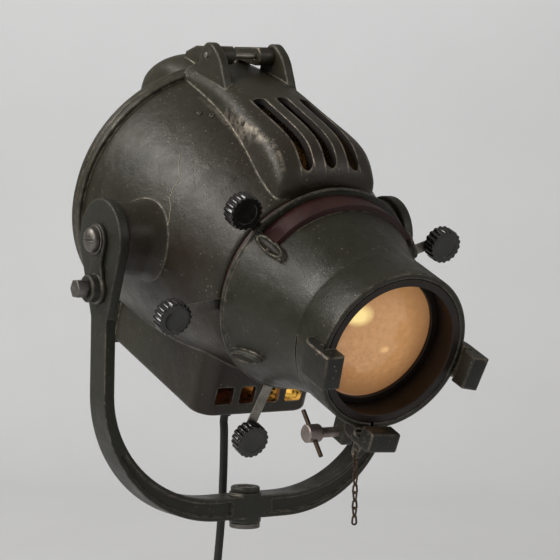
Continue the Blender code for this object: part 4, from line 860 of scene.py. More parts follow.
def make_housing():
    outer = [(0.0, SEAM_Z), (SEAM_RADIUS - 0.0006, SEAM_Z), (SEAM_RADIUS, SEAM_Z + 0.0006),
             (SEAM_RADIUS, SEAM_Z + 0.0050), (SEAM_RADIUS - 0.0008, SEAM_Z + 0.0059),
             (SEAM_RADIUS - 0.0022, SEAM_Z + 0.0060), (SEAM_RADIUS - 0.0031, SEAM_Z + 0.0052),
             (SEAM_RADIUS - 0.0040, SEAM_Z + 0.0052), (SEAM_RADIUS - 0.0042, SEAM_Z + 0.0070)]
    outer += bowl_profile(0.0, -0.0845, BOWL_FRONT_Z - 0.003, 26)
    edge_radius = bowl_profile(0.0, 0.0, BOWL_FRONT_Z, 1)[1][0]
    outer += [(edge_radius - 0.0002, BOWL_FRONT_Z - 0.0013), (edge_radius - 0.0010, BOWL_FRONT_Z - 0.0004),
              (edge_radius - 0.0022, BOWL_FRONT_Z), (0.0, BOWL_FRONT_Z)]
    housing = turned("housing_draft", outer, 144)
    housing.data.materials.append(HOUSING)
    join(housing, loft("hump", [hump_section(s) for s in HUMP_STATIONS]),
         flat("chin", chin_outline(0.004), CHIN_BOTTOM_Y, -0.055, "xzy", 0.004, 5),
         block("chin_edge", (-CHIN_HALF_WIDTH - 0.003, CHIN_BOTTOM_Y - 0.003, SEAM_Z + 0.0001),
               (CHIN_HALF_WIDTH + 0.003, -0.055, SEAM_Z + 0.006), 0.0012),
         block("screw_lug", (-0.008, COVER_SCREW_Y - 0.007, SEAM_Z + 0.0003),
               (0.008, CHIN_BOTTOM_Y + 0.003, SEAM_Z + 0.009), 0.0016))
    for side in (-1, 1):
        flare = [(0.030 + 0.009 * ((0.116 - x) / 0.024) ** 2, x) for x in
                 (0.092 + 0.024 * i / 10 for i in range(11))]
        boss = [(0.0, 0.088), (0.039, 0.088)] + flare
        boss += [(0.030, 0.1306), (0.0296, 0.1320), (0.0285, 0.1328), (0.0, 0.1328)]
        join(housing, along_x(turned(f"boss_{side}", boss, 96), side=side),
             flat(f"ear_{side}", ear_outline(), side * EAR_X - 0.004, side * EAR_X + 0.004, "zyx", 0.0012, 3))
    inner = [(0.0, SEAM_Z - 0.01), (0.1065, SEAM_Z - 0.01)]
    inner += bowl_profile(WALL, -0.080, BOWL_FRONT_Z - WALL, 16)
    inner += [(0.070, BOWL_FRONT_Z - WALL + 0.0002), (0.070, BOWL_FRONT_Z + 0.02), (0.0, BOWL_FRONT_Z + 0.02)]
    hollow = ([hump_section(HUMP_STATIONS[1], 0.005, -0.011)]
              + [hump_section(s, 0.005) for s in HUMP_STATIONS[1:6]]
              + [hump_section(HUMP_STATIONS[6], 0.0065, -0.0025),
                 hump_section(HUMP_STATIONS[7], 0.0080, -0.0045)])
    cut(housing, inside(turned("room", inner, 96)), inside(loft("hollow_hump", hollow, 2)),
        inside(flat("chin_room", chin_outline(WALL), CHIN_BOTTOM_Y + WALL, -0.050, "xzy")),
        inside(block("chin_mouth", (-CHIN_HALF_WIDTH + WALL, CHIN_BOTTOM_Y + WALL, SEAM_Z - 0.01),
                     (CHIN_HALF_WIDTH - WALL, -0.050, SEAM_Z + 0.02))),
        rod("gate_space", (0, 0, BOWL_FRONT_Z), (0, 0, 0.13), 0.0858, 144))
    for middle, width in CHIN_VENTS:
        outline = rounded_box((middle, -0.115), (width / 2, 0.0075), 0.0020)
        cut(housing, inside(flat(f"vent_{middle}", outline, CHIN_FRONT_Z - 0.010, CHIN_FRONT_Z + 0.004)))
    for index in (-1, 0, 1):
        middle = index * LOUVRE_PITCH
        outline = arc((middle, LOUVRE_FRONT_Z), LOUVRE_RADIUS, 0.0, 180.0, 14)
        outline += arc((middle, LOUVRE_BACK_Z), LOUVRE_RADIUS, 180.0, 360.0, 14)
        cut(housing, inside(flat(f"louvre_{index}", outline, 0.076, 0.150, "xzy")))
    cut(housing, hinge_rod("pin_hole", 0.05, PIN_BORE_RADIUS),
        rod("cord_hole", (0, CHIN_BOTTOM_Y - 0.01, GLAND_Z), (0, CHIN_BOTTOM_Y + 0.01, GLAND_Z), 0.0068),
        cover_screw_hole("cover_screw_hole", SEAM_Z - 0.01))
    for side in (-1, 1):
        cut(housing, rod(f"bolt_hole_{side}", (side * 0.104, 0, 0), (side * 0.15, 0, 0), BOLT_HOLE_RADIUS))
    return bake(housing, "housing_casting", "head", HOUSING, replaces=("front_housing",))


def make_cover():
    back = SEAM_Z - GAP
    dome = [(0.1125 * math.sin(a), back - 0.0072 - 0.036 * math.cos(a))
            for a in (math.radians(90.0 * i / 28) for i in range(29))]
    outer = [(0.0, dome[0][1])] + dome[1:]
    outer += [(SEAM_RADIUS - 0.0022, back - 0.0060), (SEAM_RADIUS - 0.0008, back - 0.0059),
              (SEAM_RADIUS, back - 0.0050), (SEAM_RADIUS, back - 0.0006), (SEAM_RADIUS - 0.0006, back),
              (0.0, back)]
    cover = turned("cover_draft", outer, 144)
    cover.data.materials.append(HOUSING)
    join(cover, loft("hood", [hump_section(s) for s in HOOD_STATIONS]),
         block("cover_chin", (-CHIN_HALF_WIDTH, CHIN_BOTTOM_Y, -0.121),
               (CHIN_HALF_WIDTH, -0.055, back - 0.0002), 0.009, 6),
         block("cover_chin_edge", (-CHIN_HALF_WIDTH - 0.003, CHIN_BOTTOM_Y - 0.003, back - 0.006),
               (CHIN_HALF_WIDTH + 0.003, -0.055, back - 0.0001), 0.0012),
         block("cover_screw_lug", (-0.008, COVER_SCREW_Y - 0.007, back - 0.0058),
               (0.008, CHIN_BOTTOM_Y + 0.003, back - 0.0003), 0.0012))
    arm = [(SEAM_Z - 0.021, 0.1130), (SEAM_Z - 0.020, 0.1205), (SEAM_Z - 0.007, 0.1300),
           (HINGE_Z, HINGE_Y + 0.0072), (HINGE_Z, HINGE_Y - 0.0072), (-0.0905, 0.1235),
           (SEAM_Z - 0.0006, 0.1205), (SEAM_Z - 0.0006, 0.1120)]
    for side in (-1, 1):
        near, far = sorted((side * 0.012, side * 0.0265))
        join(cover, flat(f"hinge_arm_{side}", arm, near + 0.0001, far - 0.0001, "zyx", 0.0008),
             rod(f"knuckle_{side}", (near, HINGE_Y, HINGE_Z), (far, HINGE_Y, HINGE_Z), 0.0075))
    inner = [(0.1085 * math.sin(a), back - 0.0072 - 0.032 * math.cos(a))
             for a in (math.radians(90.0 * i / 14) for i in range(15))]
    hollow = ([hump_section(HOOD_STATIONS[0], 0.0045, -0.0060)]
              + [hump_section(s, 0.0045) for s in HOOD_STATIONS[1:3]]
              + [hump_section(s, 0.0060, 0.0040) for s in HOOD_STATIONS[3:]])
    room = [(0.0, inner[0][1])] + inner[1:] + [(0.1085, back + 0.01), (0.0, back + 0.01)]
    cut(cover, inside(turned("cover_room", room, 96)), inside(loft("hood_room", hollow, 2)),
        inside(block("cover_chin_room", (-CHIN_HALF_WIDTH + WALL, CHIN_BOTTOM_Y + WALL, -0.117),
                     (CHIN_HALF_WIDTH - WALL, -0.050, back + 0.01))),
        hinge_rod("pin_bore", 0.05, PIN_BORE_RADIUS), cover_screw_hole("cover_hole", SEAM_Z - 0.02))
    bake(cover, "cover_casting", "rear_cover", HOUSING, replaces=("rear_cover",))
    bake(round_edges(hinge_rod("pin_draft", 0.037, PIN_RADIUS), 0.0006), "hinge_pin_turned", "head", STEEL,
         replaces=("hinge_pin",))
    make_cover_screw(back - 0.0064)


def make_cover_screw(head_z):
    """A knurled thumbscrew, its head just behind the cover's lug and its shank through the hole."""
    knurl = []
    for i in range(96):
        reach = 0.0063 - (0.00035 if i % 4 < 2 else 0.0)
        angle = math.tau * i / 96
        knurl.append((reach * math.cos(angle), COVER_SCREW_Y + reach * math.sin(angle)))
    screw = flat("screw_draft", knurl, head_z - 0.011, head_z, "xyz", 0.0003)
    join(screw, rod("screw_shank", (0, COVER_SCREW_Y, head_z - 0.002), (0, COVER_SCREW_Y, head_z + 0.0145),
                    0.0020))
    cut(screw, block("screw_slot", (-0.007, COVER_SCREW_Y - 0.0006, head_z - 0.012),
                     (0.007, COVER_SCREW_Y + 0.0006, head_z - 0.0093)))
    bake(screw, "cover_screw_knurled", "cover_thumbscrew", STEEL, replaces=("cover_thumbscrew",))


def make_gate():
    drum = turned("drum_draft", [(0.038, 0.0933), (0.0804, 0.0933), (0.081, 0.0939), (0.081, 0.1085),
                                 (0.0745, 0.1085), (0.0745, 0.1295), (0.0715, 0.1295), (0.0715, 0.1065),
                                 (0.0775, 0.1065), (0.0775, 0.0953), (0.038, 0.0953)], 144)
    drum.data.materials.append(MAROON)
    band = arc((0.0, 0.0), 0.0822, 38.6, 141.4, 48) + arc((0.0, 0.0), 0.0725, 141.4, 38.6, 48)
    join(drum, flat("window_band", band, 0.1071, 0.1272, edge=0.0007))
    for name, angle, _ in SHUTTERS:
        notch = block(f"notch_{name}", (0.070, -0.0060, 0.0955), (0.090, 0.0060, 0.1041))
        cut(drum, inside(spun(notch, angle)))
    bake(drum, "gate_drum_fine", "head", MAROON, replaces=("gate_drum",))
    bake(turned("plate_draft", [(0.038, 0.1046), (0.0772, 0.1046), (0.0772, 0.1061), (0.038, 0.1061)], 144),
         "gate_plate_fine", "head", BLACK_METAL, replaces=("gate_plate",))


def make_knobs():
    """Fluted bakelite grips with a dished face, one on each shutter tab."""
    for index, (name, angle, place) in enumerate(SHUTTERS):
        low = 0.0959 + index * 0.0021 + 0.0012 + GAP
        outline = []
        for i in range(KNOB_FLUTES * 12):
            turn = math.tau * i / (KNOB_FLUTES * 12)
            radius = KNOB_RADIUS - 0.0008 + 0.0006 * math.cos(KNOB_FLUTES * turn)
            outline.append((place + radius * math.cos(turn), radius * math.sin(turn)))
        knob = flat(f"knob_draft_{name}", outline, low, low + 0.012, edge=0.0011, edge_steps=4)
        dish = turned(f"dish_{name}", [(0.0, low + 0.0111), (0.0050, low + 0.0112), (0.0088, low + 0.0117),
                                       (0.0096, low + 0.0125), (0.0, low + 0.0125)], 64)
        dish.matrix_world = turn_about_beam(angle) @ Matrix.Translation((place, 0.0, 0.0))
        cut(spun(knob, angle), dish)
        bake(knob, f"knob_{name}_fluted", f"shutter_{name}", BAKELITE, replaces=(f"shutter_knob_{name}",))


def cone_radius(z):
    share = min(max((z - 0.110) / 0.070, 0.0), 1.0)
    return 0.0650 + 0.0205 * (1.0 - share) ** 1.5


# The oval swells round the snout and the dents in them: half sizes, and how far off the beam's axis
SWELLS = (("swell", (0.0045, 0.0062, 0.0170), 0.0813, "UNION"),
          ("dent", (0.0030, 0.0042, 0.0128), 0.0846, "DIFFERENCE"))


def make_snout():
    profile = [(0.0875, 0.104), (0.088, 0.1045), (0.088, 0.1063), (0.0875, 0.1068), (0.0862, 0.1072)]
    profile += [(cone_radius(z), z) for z in (0.110 + 0.070 * i / 22 for i in range(23))]
    profile += [(0.0652, 0.1815), (0.0660, 0.1830), (0.0660, 0.2188), (0.0654, 0.2195), (0.0616, 0.2195),
                (0.0610, 0.2189), (0.0610, 0.160)]
    profile += [(max(cone_radius(z) - WALL, 0.0610), z) for z in (0.150, 0.142, 0.135)]
    profile += [(0.0735, 0.1300), (0.0748, 0.1299), (0.0748, 0.1088), (0.0813, 0.1088), (0.0813, 0.104)]
    snout = turned("snout_draft", profile, 144)
    snout.data.materials.append(SNOUT_ENAMEL)
    lean = Matrix.Rotation(math.radians(-22.0), 4, "Y")
    for index, angle in enumerate((35.0, 145.0, 215.0, 325.0)):
        for kind, size, out, operation in SWELLS:
            bm = bmesh.new()
            bmesh.ops.create_uvsphere(bm, u_segments=36, v_segments=24, radius=1.0,
                                      matrix=Matrix.Diagonal((*size, 1.0)))
            shape = draft(f"{kind}_{index}", mesh_of(kind, bm))
            shape.matrix_world = turn_about_beam(angle) @ Matrix.Translation((out, 0.0, 0.1250)) @ lean
            combine(snout, operation, shape)
    for index, (low, high) in enumerate(((-0.0155, -0.0050), (-0.0020, 0.0085))):
        join(snout, block(f"clamp_lug_{index}", (low, -0.0885, 0.1865), (high, -0.0620, 0.2035), 0.0022, 4))
    window = arc((0.0, 0.0), 0.100, 38.0, 142.0, 40) + arc((0.0, 0.0), 0.0650, 142.0, 38.0, 40)
    slit = arc((0.0, 0.0), 0.075, 181.0, 268.0, 40) + arc((0.0, 0.0), 0.050, 268.0, 181.0, 40)
    cut(snout, flat("window", window, 0.1068, 0.1275), inside(flat("slit", slit, 0.1815, 0.1840)),
        inside(block("split", (-0.00505, -0.095, 0.1824), (-0.00195, -0.050, 0.230))),
        inside(rod("clamp_hole", (-0.020, CLAMP_Y, CLAMP_Z), (0.020, CLAMP_Y, CLAMP_Z), 0.0043)))
    return bake(snout, "snout_casting", "head", SNOUT_ENAMEL, replaces=("snout",))


def make_optics():
    bake(turned("tube_draft", [(0.0606, 0.150), (0.0606, 0.2188), (0.0602, 0.2192), (0.0549, 0.2192),
                               (0.0545, 0.2188), (0.0545, 0.2172), (0.0575, 0.2162), (0.0575, 0.1815),
                               (0.0530, 0.1815), (0.0530, 0.1795), (0.0575, 0.1795), (0.0575, 0.150)], 144),
         "lens_tube_fine", "lens_tube", TUBE_BLACK, replaces=("lens_tube",))
    radius, sag, rim_z = 0.0570, 0.0127, 0.1878
    ball = (radius ** 2 + sag ** 2) / (2.0 * sag)
    spread = math.degrees(math.asin(radius / ball))
    face = arc((0.0, rim_z + sag - ball), ball, 90.0 - spread, 90.0, 40)
    face[-1] = (0.0, rim_z + sag)
    bake(turned("lens_draft", [(0.0, 0.1818), (0.0565, 0.1818), (radius, 0.1823)] + face, 144), "lens_fine",
         "lens_tube", LENS_PAINTED_GLOW, replaces=("lens",), sharp=50.0)
    bake(turned("ring_draft", [(0.0512, 0.1914), (0.0570, 0.1886), (0.0571, 0.1940), (0.0566, 0.1942),
                               (0.0516, 0.1942), (0.0512, 0.1938)], 144),
         "lens_ring_fine", "lens_tube", TUBE_BLACK, replaces=("lens_ring",))


def make_clips():
    outline = [(0.0635, 0.204), (0.0635, 0.2190), (0.0702, 0.2190), (0.0702, 0.2264), (0.0600, 0.2264),
               (0.0600, 0.2390), (0.0606, 0.2405), (0.0620, 0.2410), (0.0740, 0.2410), (0.0756, 0.2404),
               (0.0762, 0.2390), (0.0762, 0.2120), (0.0750, 0.2085), (0.0715, 0.204)]
    for name, angle in (("left", 184.0), ("bottom", 266.0), ("right", 350.0)):
        clip = flat(f"clip_draft_{name}", outline, -0.0135, 0.0135, "xzy")
        round_edges(clip, 0.0009, 3)
        spun(clip, angle)
        if name == "bottom":
            x, y, z = CHAIN_PLACE
            ear = flat("chain_ear", [(z - 0.0045, -0.0735)] + arc((z, y), 0.0045, 180.0, 360.0, 24)
                       + [(z + 0.0045, -0.0735)], x - 0.001, x + 0.001, "zyx", 0.0003)
            join(clip, ear)
            cut(clip, rod("chain_hole", (x - 0.01, y, z), (x + 0.01, y, z), 0.0022))
        cut(clip, rod(f"clip_seat_{name}", (0, 0, 0.19), (0, 0, 0.2197), 0.0663, 144))
        bake(clip, f"clip_{name}_fine", "head", CLIP_ENAMEL, replaces=(f"frame_clip_{name}",))


def make_clamp_screw():
    x = CLAMP_HEAD_X
    screw = turned("clamp_draft", [(0.0, 0.0), (0.0062, 0.0), (0.0072, 0.0010), (0.0072, 0.0118),
                                   (0.0064, 0.013), (0.0040, 0.0131), (0.0040, 0.0570), (0.0035, 0.0575),
                                   (0.0, 0.0575)], 64)
    along_x(screw, (x, CLAMP_Y, CLAMP_Z))
    reach = Vector((0.0, -0.525, 0.851)) * 0.021
    middle = Vector((x + 0.0065, CLAMP_Y, CLAMP_Z))
    cut(screw, rod("tommy_hole", middle - reach, middle + reach, 0.0021))
    bake(screw, "clamp_screw_turned", "clamp_screw", WORN_STEEL, replaces=("clamp_screw",))
    bake(round_edges(rod("tommy_draft", middle - reach, middle + reach, 0.0018, 32), 0.0005, 3),
         "tommy_bar_round", "tommy_bar", RUSTY_STEEL, replaces=("tommy_bar",))


def make_chain():
    """Small twisted links of rusty wire, each hanging in the one above."""
    anchor = lamp_to_world(*CHAIN_PLACE)
    length, width, wire = 0.0088, 0.0052, 0.0008
    bm = bmesh.new()
    for index in range(9):
        centre = anchor - Vector((0.0, 0.0, length / 2 - wire + index * (length - 3.4 * wire)))
        straight = (length - width) / 2
        loop = arc((0.0, straight), width / 2 - wire, 0.0, 180.0, 12)
        loop += arc((0.0, -straight), width / 2 - wire, 180.0, 360.0, 12)
        points = []
        for u, v in loop:
            turn = math.radians(90.0 * (index % 2) + 24.0 * v / (length / 2))
            points.append(centre + Vector((u * math.cos(turn), u * math.sin(turn), v)))
        link = tube(f"link_{index}", points, wire, 5, closed=True)
        bm.from_mesh(link.data)
    bake(draft("chain_draft", mesh_of("chain", bm)), "chain_links", "frame_chain", RUSTY_STEEL, WORLD,
         ("frame_chain",), 60.0)


LOCK_HEIGHT = PIVOT_HEIGHT - 0.039
PIVOT_HOLES = (("pivot", PIVOT_HEIGHT, BOLT_HOLE_RADIUS), ("lock", LOCK_HEIGHT, LOCK_HOLE_RADIUS))


def yoke_outline():
    top, corner, left = 0.213, (0.033, 0.119), (-0.033, 0.119)
    outline = [(0.143, top)] + arc(corner, 0.110, 0.0, -90.0, 40) + arc(left, 0.110, -90.0, -180.0, 40)
    outline += [(-0.143, top), (-0.134, top)] + arc(left, (0.101, 0.0915), 180.0, 270.0, 40)
    return outline + arc(corner, (0.101, 0.0915), -90.0, 0.0, 40) + [(0.134, top)]


def make_yoke():
    yoke = flat("yoke_draft", yoke_outline(), -0.012, 0.012, "xzy")
    yoke.data.materials.append(YOKE_ENAMEL)
    for side in (-1, 1):
        low, high = sorted((side * 0.134, side * 0.143))
        eye = arc((0.0, PIVOT_HEIGHT), 0.032, -22.0, 202.0, 48)
        eye += [(-0.012, PIVOT_HEIGHT - 0.062), (0.012, PIVOT_HEIGHT - 0.062)]
        join(yoke, flat(f"eye_{side}", eye, low + 0.00005, high - 0.00005, "yzx", 0.0010, 3))
        for half in (-1, 1):
            outer = arc((0.033, 0.119), 0.1062, -28.0, -90.0, 24)
            inner = arc((0.033, 0.119), (0.1048, 0.0953), -90.0, -30.0, 24)
            web = [(half * u, v) for u, v in outer + [(0.0195, 0.0128), (0.0195, 0.0237)] + inner]
            face = side * 0.022
            floor, rim = sorted((face, face - side * 0.0125))
            cut(yoke, flat(f"web_{side}_{half}", web, floor, rim, "xzy"))
    join(yoke, turned("hub", [(0.0, 0.0046), (0.0129, 0.0046), (0.0135, 0.0052), (0.0135, 0.0294),
                              (0.0129, 0.0300), (0.0, 0.0300)], 96))
    cut(yoke, rod("stud_hole", (0, 0, -0.01), (0, 0, 0.05), BOLT_HOLE_RADIUS))
    for side in (-1, 1):
        for label, height, radius in PIVOT_HOLES:
            cut(yoke, rod(f"{label}_hole_{side}", (side * 0.12, 0, height), (side * 0.16, 0, height), radius))
    bake(yoke, "yoke_casting", "yoke", YOKE_ENAMEL, WORLD, ("yoke",))
    bake(turned("stud_draft", [(0.0, 0.0), (0.0124, 0.0), (0.0128, 0.0004), (0.0128, 0.0038), (0.0124, 0.0042),
                               (0.0060, 0.0042), (0.0060, 0.0331), (0.0056, 0.0335), (0.0, 0.0335)], 96),
         "foot_stud_turned", "foot", DARK_STEEL, WORLD, ("foot_stud",))
    bake(turned("nut_draft", [(0.0063, 0.0304), (0.0118, 0.0304), (0.0122, 0.0308), (0.0122, 0.0336),
                              (0.0114, 0.0344), (0.0069, 0.0344), (0.0063, 0.0338)], 96),
         "foot_nut_turned", "foot", YOKE_ENAMEL, WORLD, ("foot_nut",))


def make_pivots():
    lower = LOCK_HEIGHT
    for side, name in ((-1, "left"), (1, "right")):
        near, far = sorted((side * 0.1433, side * 0.1468))
        outline = arc((0.0, PIVOT_HEIGHT), 0.0125, -28.0, 208.0, 36) + [(-0.0072, PIVOT_HEIGHT - 0.018)]
        outline += arc((0.0, lower), 0.0122, 142.0, 398.0, 36) + [(0.0072, PIVOT_HEIGHT - 0.018)]
        strap = flat(f"strap_draft_{name}", outline, near, far, "yzx", 0.0007, 3)
        boss = turned(f"strap_boss_{name}", [(0.0, 0.145), (0.0112, 0.145), (0.0112, 0.1537),
                                             (0.0104, 0.1545), (0.0, 0.1545)], 72)
        join(strap, along_x(boss, (0.0, 0.0, lower), side))
        for label, height, radius in PIVOT_HOLES:
            cut(strap, rod(f"strap_{label}_{name}", (side * 0.13, 0, height), (side * 0.17, 0, height),
                           radius))
        bake(strap, f"pivot_strap_{name}_fine", "yoke", YOKE_ENAMEL, WORLD, (f"pivot_strap_{name}",))
        washer = turned(f"washer_draft_{name}", [(0.0063, 0.1471), (0.0116, 0.1471), (0.0118, 0.1473),
                                                 (0.0118, 0.1481), (0.0116, 0.1483), (0.0063, 0.1483)], 72)
        bake(along_x(washer, (0.0, 0.0, PIVOT_HEIGHT), side), f"pivot_washer_{name}_fine", "yoke", DARK_STEEL,
             WORLD, (f"pivot_washer_{name}",))
        head_x = 0.1486
        dome = [(0.0100 * math.cos(a), head_x + 0.0022 + 0.0046 * math.sin(a))
                for a in (math.radians(90.0 * i / 16) for i in range(16))]
        shank = [(0.0, 0.1055), (0.0060, 0.1055), (0.0060, head_x), (0.0096, head_x),
                 (0.0100, head_x + 0.0004)]
        bolt = turned(f"bolt_draft_{name}", shank + dome + [(0.0, head_x + 0.0068)], 72)
        along_x(bolt, (0.0, 0.0, PIVOT_HEIGHT), side)
        low, high = sorted((side * (head_x + 0.0048), side * (head_x + 0.010)))
        cut(bolt, block(f"bolt_slot_{name}", (low, -0.012, PIVOT_HEIGHT - 0.0008),
                        (high, 0.012, PIVOT_HEIGHT + 0.0008)))
        bake(bolt, f"pivot_bolt_{name}_fine", "yoke", DARK_STEEL, WORLD, (f"pivot_bolt_{name}",))
        screw = rod(f"lock_draft_{name}", (side * 0.1548, 0, lower), (side * 0.1650, 0, lower), 0.0078, 6)
        round_edges(screw, 0.0007, 3)
        join(screw, rod(f"lock_shank_{name}", (side * 0.1335, 0, lower), (side * 0.1560, 0, lower), 0.0050))
        bake(screw, f"lock_screw_{name}_fine", f"lock_screw_{name}", DARK_STEEL, WORLD,
             (f"lock_screw_{name}",))


def make_gland():
    top, floor, bore = CHIN_BOTTOM_Y - GAP, CHIN_BOTTOM_Y + WALL + 0.0006, CORD_RADIUS + GAP
    profile = [(bore, -floor), (0.0064, -floor), (0.0064, -top), (0.0094, -top), (0.0098, -top + 0.0004),
               (0.0098, -top + 0.0040), (0.0090, -top + 0.0048), (0.0076, -top + 0.0055)]
    for i in range(1, 15):
        reach = 0.0074 - 0.0022 * i / 14 - (0.0005 if i % 2 else 0.0)
        profile.append((reach, -top + 0.0060 + (BOOT_LENGTH - 0.0070) * i / 14))
    profile += [(0.0050, -top + BOOT_LENGTH), (bore, -top + BOOT_LENGTH)]
    gland = turned("gland_draft", profile, 64)
    gland.matrix_world = Matrix.Translation((0.0, 0.0, GLAND_Z)) @ Matrix.Rotation(math.pi / 2, 4, "X")
    bake(gland, "cord_gland_ribbed", "head", RUBBER, replaces=("cord_gland",))


def make_plug():
    """A round rubber plug with a ribbed grip, its two pins, and the strap that holds the coil."""
    end = coil_route()[-1]
    top = end.z - GAP - TAIL_LENGTH - GAP
    profile = [(0.0, top), (0.0056, top), (0.0062, top - 0.0006), (0.0066, top - 0.006), (0.0070, top - 0.0115),
               (0.0090, top - 0.0140), (0.0150, top - 0.018), (0.0176, top - 0.0215)]
    for i in range(13):
        profile.append((0.0184 - (0.0007 if i % 2 else 0.0), top - 0.026 - 0.0010 * i))
    profile += [(0.0184, top - 0.0395), (0.0184, top - 0.0462), (0.0180, top - 0.0475), (0.0172, top - 0.048),
                (0.0, top - 0.048)]
    plug = turned("plug_draft", profile, 96)
    plug.matrix_world = Matrix.Translation((end.x, end.y, 0.0))
    body = bake(plug, "plug_ribbed", "yoke", RUBBER, WORLD, ("plug",))
    pieces = [body]
    for side, name in ((-1, "left"), (1, "right")):
        x = end.x + side * 0.0095
        pin = turned(f"pin_draft_{name}", [(0.0, top - 0.048 - GAP), (0.0024, top - 0.048 - GAP),
                                           (0.0024, top - 0.0655), (0.0018, top - 0.067),
                                           (0.0, top - 0.067)], 48)
        pin.matrix_world = Matrix.Translation((x, end.y, 0.0))
        pieces.append(bake(pin, f"plug_pin_{name}_turned", "yoke", BRASS, WORLD, (f"plug_pin_{name}",)))
    x = COIL_TOP.x + 2 * COIL_RADIUS
    y = COIL_TOP.y + COIL_PITCH * 1.5
    z = COIL_TOP.z - 2 * CORD_RADIUS
    strap = flat("tie_draft", rounded_box((x, y), (0.0051, 0.0130), 0.0048, 10), z - 0.0045, z + 0.0045,
                 edge=0.0004)
    cut(strap, flat("tie_hole", rounded_box((x, y), (0.0040, 0.0119), 0.0037, 10), z - 0.01, z + 0.01))
    tab = block("tie_tab", (x + 0.0044, y - 0.0030, z - 0.0040), (x + 0.0062, y + 0.0090, z + 0.0040), 0.0006)
    join(strap, tab)
    pieces.append(bake(strap, "coil_tie", "yoke", RUBBER, WORLD, ()))
    return pieces


def surface_point(piece, photo_x, photo_y):
    """Where the line of sight through a place of the photograph meets a piece, and its normal there."""
    _, place, normal, _ = piece.ray_cast(CAMERA_PLACE, line_of_sight(photo_x, photo_y))
    return place, normal


def small_screw(name, piece, photo_x, photo_y, radius, body, look):
    """A slotted screw head that sits on a casting."""
    place, normal = surface_point(piece, photo_x, photo_y)
    head = turned(f"{name}_draft", [(0.0, -0.0012), (radius, -0.0012), (radius, 0.0004), (radius * 0.8, 0.0009),
                                    (0.0, 0.0011)], 40)
    turn = Vector((0.0, 0.0, 1.0)).rotation_difference(normal).to_matrix().to_4x4()
    head.matrix_world = Matrix.Translation(place) @ turn
    slot = block(f"{name}_slot", (-0.01, -radius * 0.16, 0.0004), (0.01, radius * 0.16, 0.002))
    slot.matrix_world = head.matrix_world @ Matrix.Rotation(0.7, 4, "Z")
    cut(head, slot)
    bake(head, name, body, look, WORLD)


# Places in the photograph, in its pixels
SCRATCH = ((257.1, 133.9), (256.6, 138.5), (256.6, 143.7), (257.5, 146.6), (255.9, 149.4), (254.2, 151.5),
           (252.6, 154.8), (251.7, 158.3), (252.2, 164.2), (251.4, 169.0), (250.7, 173.9))
DOME_SCREWS = ((268.0, 111.3), (274.6, 112.4), (291.6, 116.9))
SWELL_SCREWS = ((305.6, 186.5), (311.6, 192.2))


def make_marks():
    """A scratch through the paint of the dome, and the small screws on the castings."""
    points = []
    for (x0, y0), (x1, y1) in zip(SCRATCH, SCRATCH[1:]):
        for i in range(6):
            place, normal = surface_point(HOUSING_PIECE, x0 + (x1 - x0) * i / 6, y0 + (y1 - y0) * i / 6)
            wobble = 0.00025 * math.sin(7.0 * len(points))
            points.append(place + normal * 0.00005 + Vector((wobble, 0.0, wobble * 0.5)))
    bake(tube("scratch_draft", points, 0.00028, 2), "dome_scratch", "head", BARE_PAINT, WORLD)
    for index, (x, y) in enumerate(DOME_SCREWS):
        small_screw(f"dome_screw_{index}", HOUSING_PIECE, x, y, 0.0024, "head", CLIP_ENAMEL)
    for index, (x, y) in enumerate(SWELL_SCREWS):
        small_screw(f"swell_screw_{index}", SNOUT_PIECE, x, y, 0.0019, "head", CLIP_ENAMEL)


make_cord()
make_gland()
HOUSING_PIECE = make_housing()
make_cover()
make_gate()
make_knobs()
SNOUT_PIECE = make_snout()
make_optics()
make_clips()
make_clamp_screw()
make_chain()
make_yoke()
make_pivots()
make_marks()


FLOOR_Z = -0.30
FLOOR_FRONT = -3.5
FLOOR_TONE = (0.745, 0.76, 0.785)
WALL_BACK = 2.6
WALL_TOP = 0.62
WALL_BEND = 0.6
STAGE_HALF_WIDTH = 4.0


def stage():
    """A pale floor that sweeps up into a low wall, below everything that hangs from the foot."""
    profile = [(FLOOR_FRONT, FLOOR_Z)]
    for i in range(17):
        a = math.radians(90.0 * i / 16)
        profile.append((WALL_BACK - WALL_BEND + WALL_BEND * math.sin(a),
                        FLOOR_Z + WALL_BEND - WALL_BEND * math.cos(a)))
    profile.append((WALL_BACK, WALL_TOP))
    along = Vector((0.5314, 0.8471, 0.0))
    side = Vector((0.8471, -0.5314, 0.0))
    bm = bmesh.new()
    rows = [[bm.verts.new(along * y + side * x + Vector((0.0, 0.0, z)))
             for x in (-STAGE_HALF_WIDTH, STAGE_HALF_WIDTH)] for y, z in profile]
    for a, b in zip(rows, rows[1:]):
        bm.faces.new((a[0], a[1], b[1], b[0]))
    mesh = mesh_of("floor", bm)
    mesh.shade_smooth()
    mesh.materials.append(floor_material("pale_floor", FLOOR_TONE))
    floor = bpy.data.objects.new("floor", mesh)
    bpy.context.scene.collection.objects.link(floor)


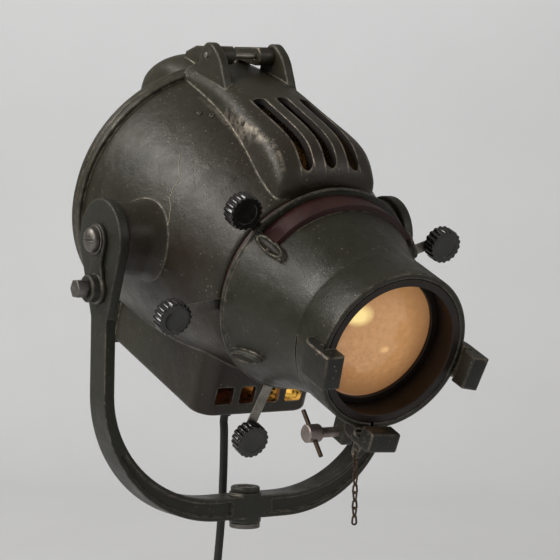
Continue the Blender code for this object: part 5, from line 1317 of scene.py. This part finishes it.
WHITE = (1.0, 1.0, 1.0)
WARM_WHITE = (1.0, 0.97, 0.92)
SPOT_MIDDLE = (0.0, 0.0, 0.24)
WORLD_COLOUR = (0.86, 0.82, 0.76)
WORLD_STRENGTH = 0.31

# Name, place, target, size, watts and tint
AREA_LIGHTS = (
    ("key", (-2.2, -0.5, 1.4), SPOT_MIDDLE, (0.9, 0.9), 32.0, WARM_WHITE),
    ("fill", (1.3, -1.9, 1.2), SPOT_MIDDLE, (1.2, 1.2), 8.5, WARM_WHITE),
    ("top", (-1.5, 0.8, 1.7), SPOT_MIDDLE, (1.0, 0.9), 27.0, WARM_WHITE),
    ("backdrop", (0.90, 1.44, 1.30), (1.36, 2.16, 0.10), (2.0, 0.5), 6.5, WHITE),
)


def area_light(name, place, target, size, power, tint):
    data = bpy.data.lights.new(name, "AREA")
    data.shape = "RECTANGLE"
    data.size, data.size_y = size
    data.energy = power
    data.color = tint
    light = bpy.data.objects.new(name, data)
    light.location = place
    light.rotation_mode = "QUATERNION"
    light.rotation_quaternion = (Vector(target) - Vector(place)).to_track_quat("-Z", "Y")
    bpy.context.scene.collection.objects.link(light)


def lights():
    for light in AREA_LIGHTS:
        area_light(*light)
    world = bpy.data.worlds.new("studio")
    world.use_nodes = True
    background = world.node_tree.nodes["Background"]
    background.inputs["Color"].default_value = colour(WORLD_COLOUR)
    background.inputs["Strength"].default_value = WORLD_STRENGTH
    bpy.context.scene.world = world


stage()
lights()
bpy.context.scene.view_settings.view_transform = "Standard"


# CAD nodes that keep their own meshes

CAD_LOOKS = {
    "lamp_tray": BLACK_METAL, "lamp_bulb": BULB_GLASS, "lamp_cap": BRASS, "lampholder": CERAMIC,
    "reflector": MIRROR_METAL, "shutter_blade_left": DARK_STEEL, "shutter_blade_top": STEEL,
    "shutter_blade_bottom": STEEL, "shutter_blade_right": STEEL,
}

for node, look in CAD_LOOKS.items():
    obj = frame["nodes"][node]
    for index in range(len(obj.material_slots)):
        obj.material_slots[index].material = look

for leftover in list(CUTTERS.objects):
    bpy.data.objects.remove(leftover, do_unlink=True)
bpy.data.collections.remove(CUTTERS)
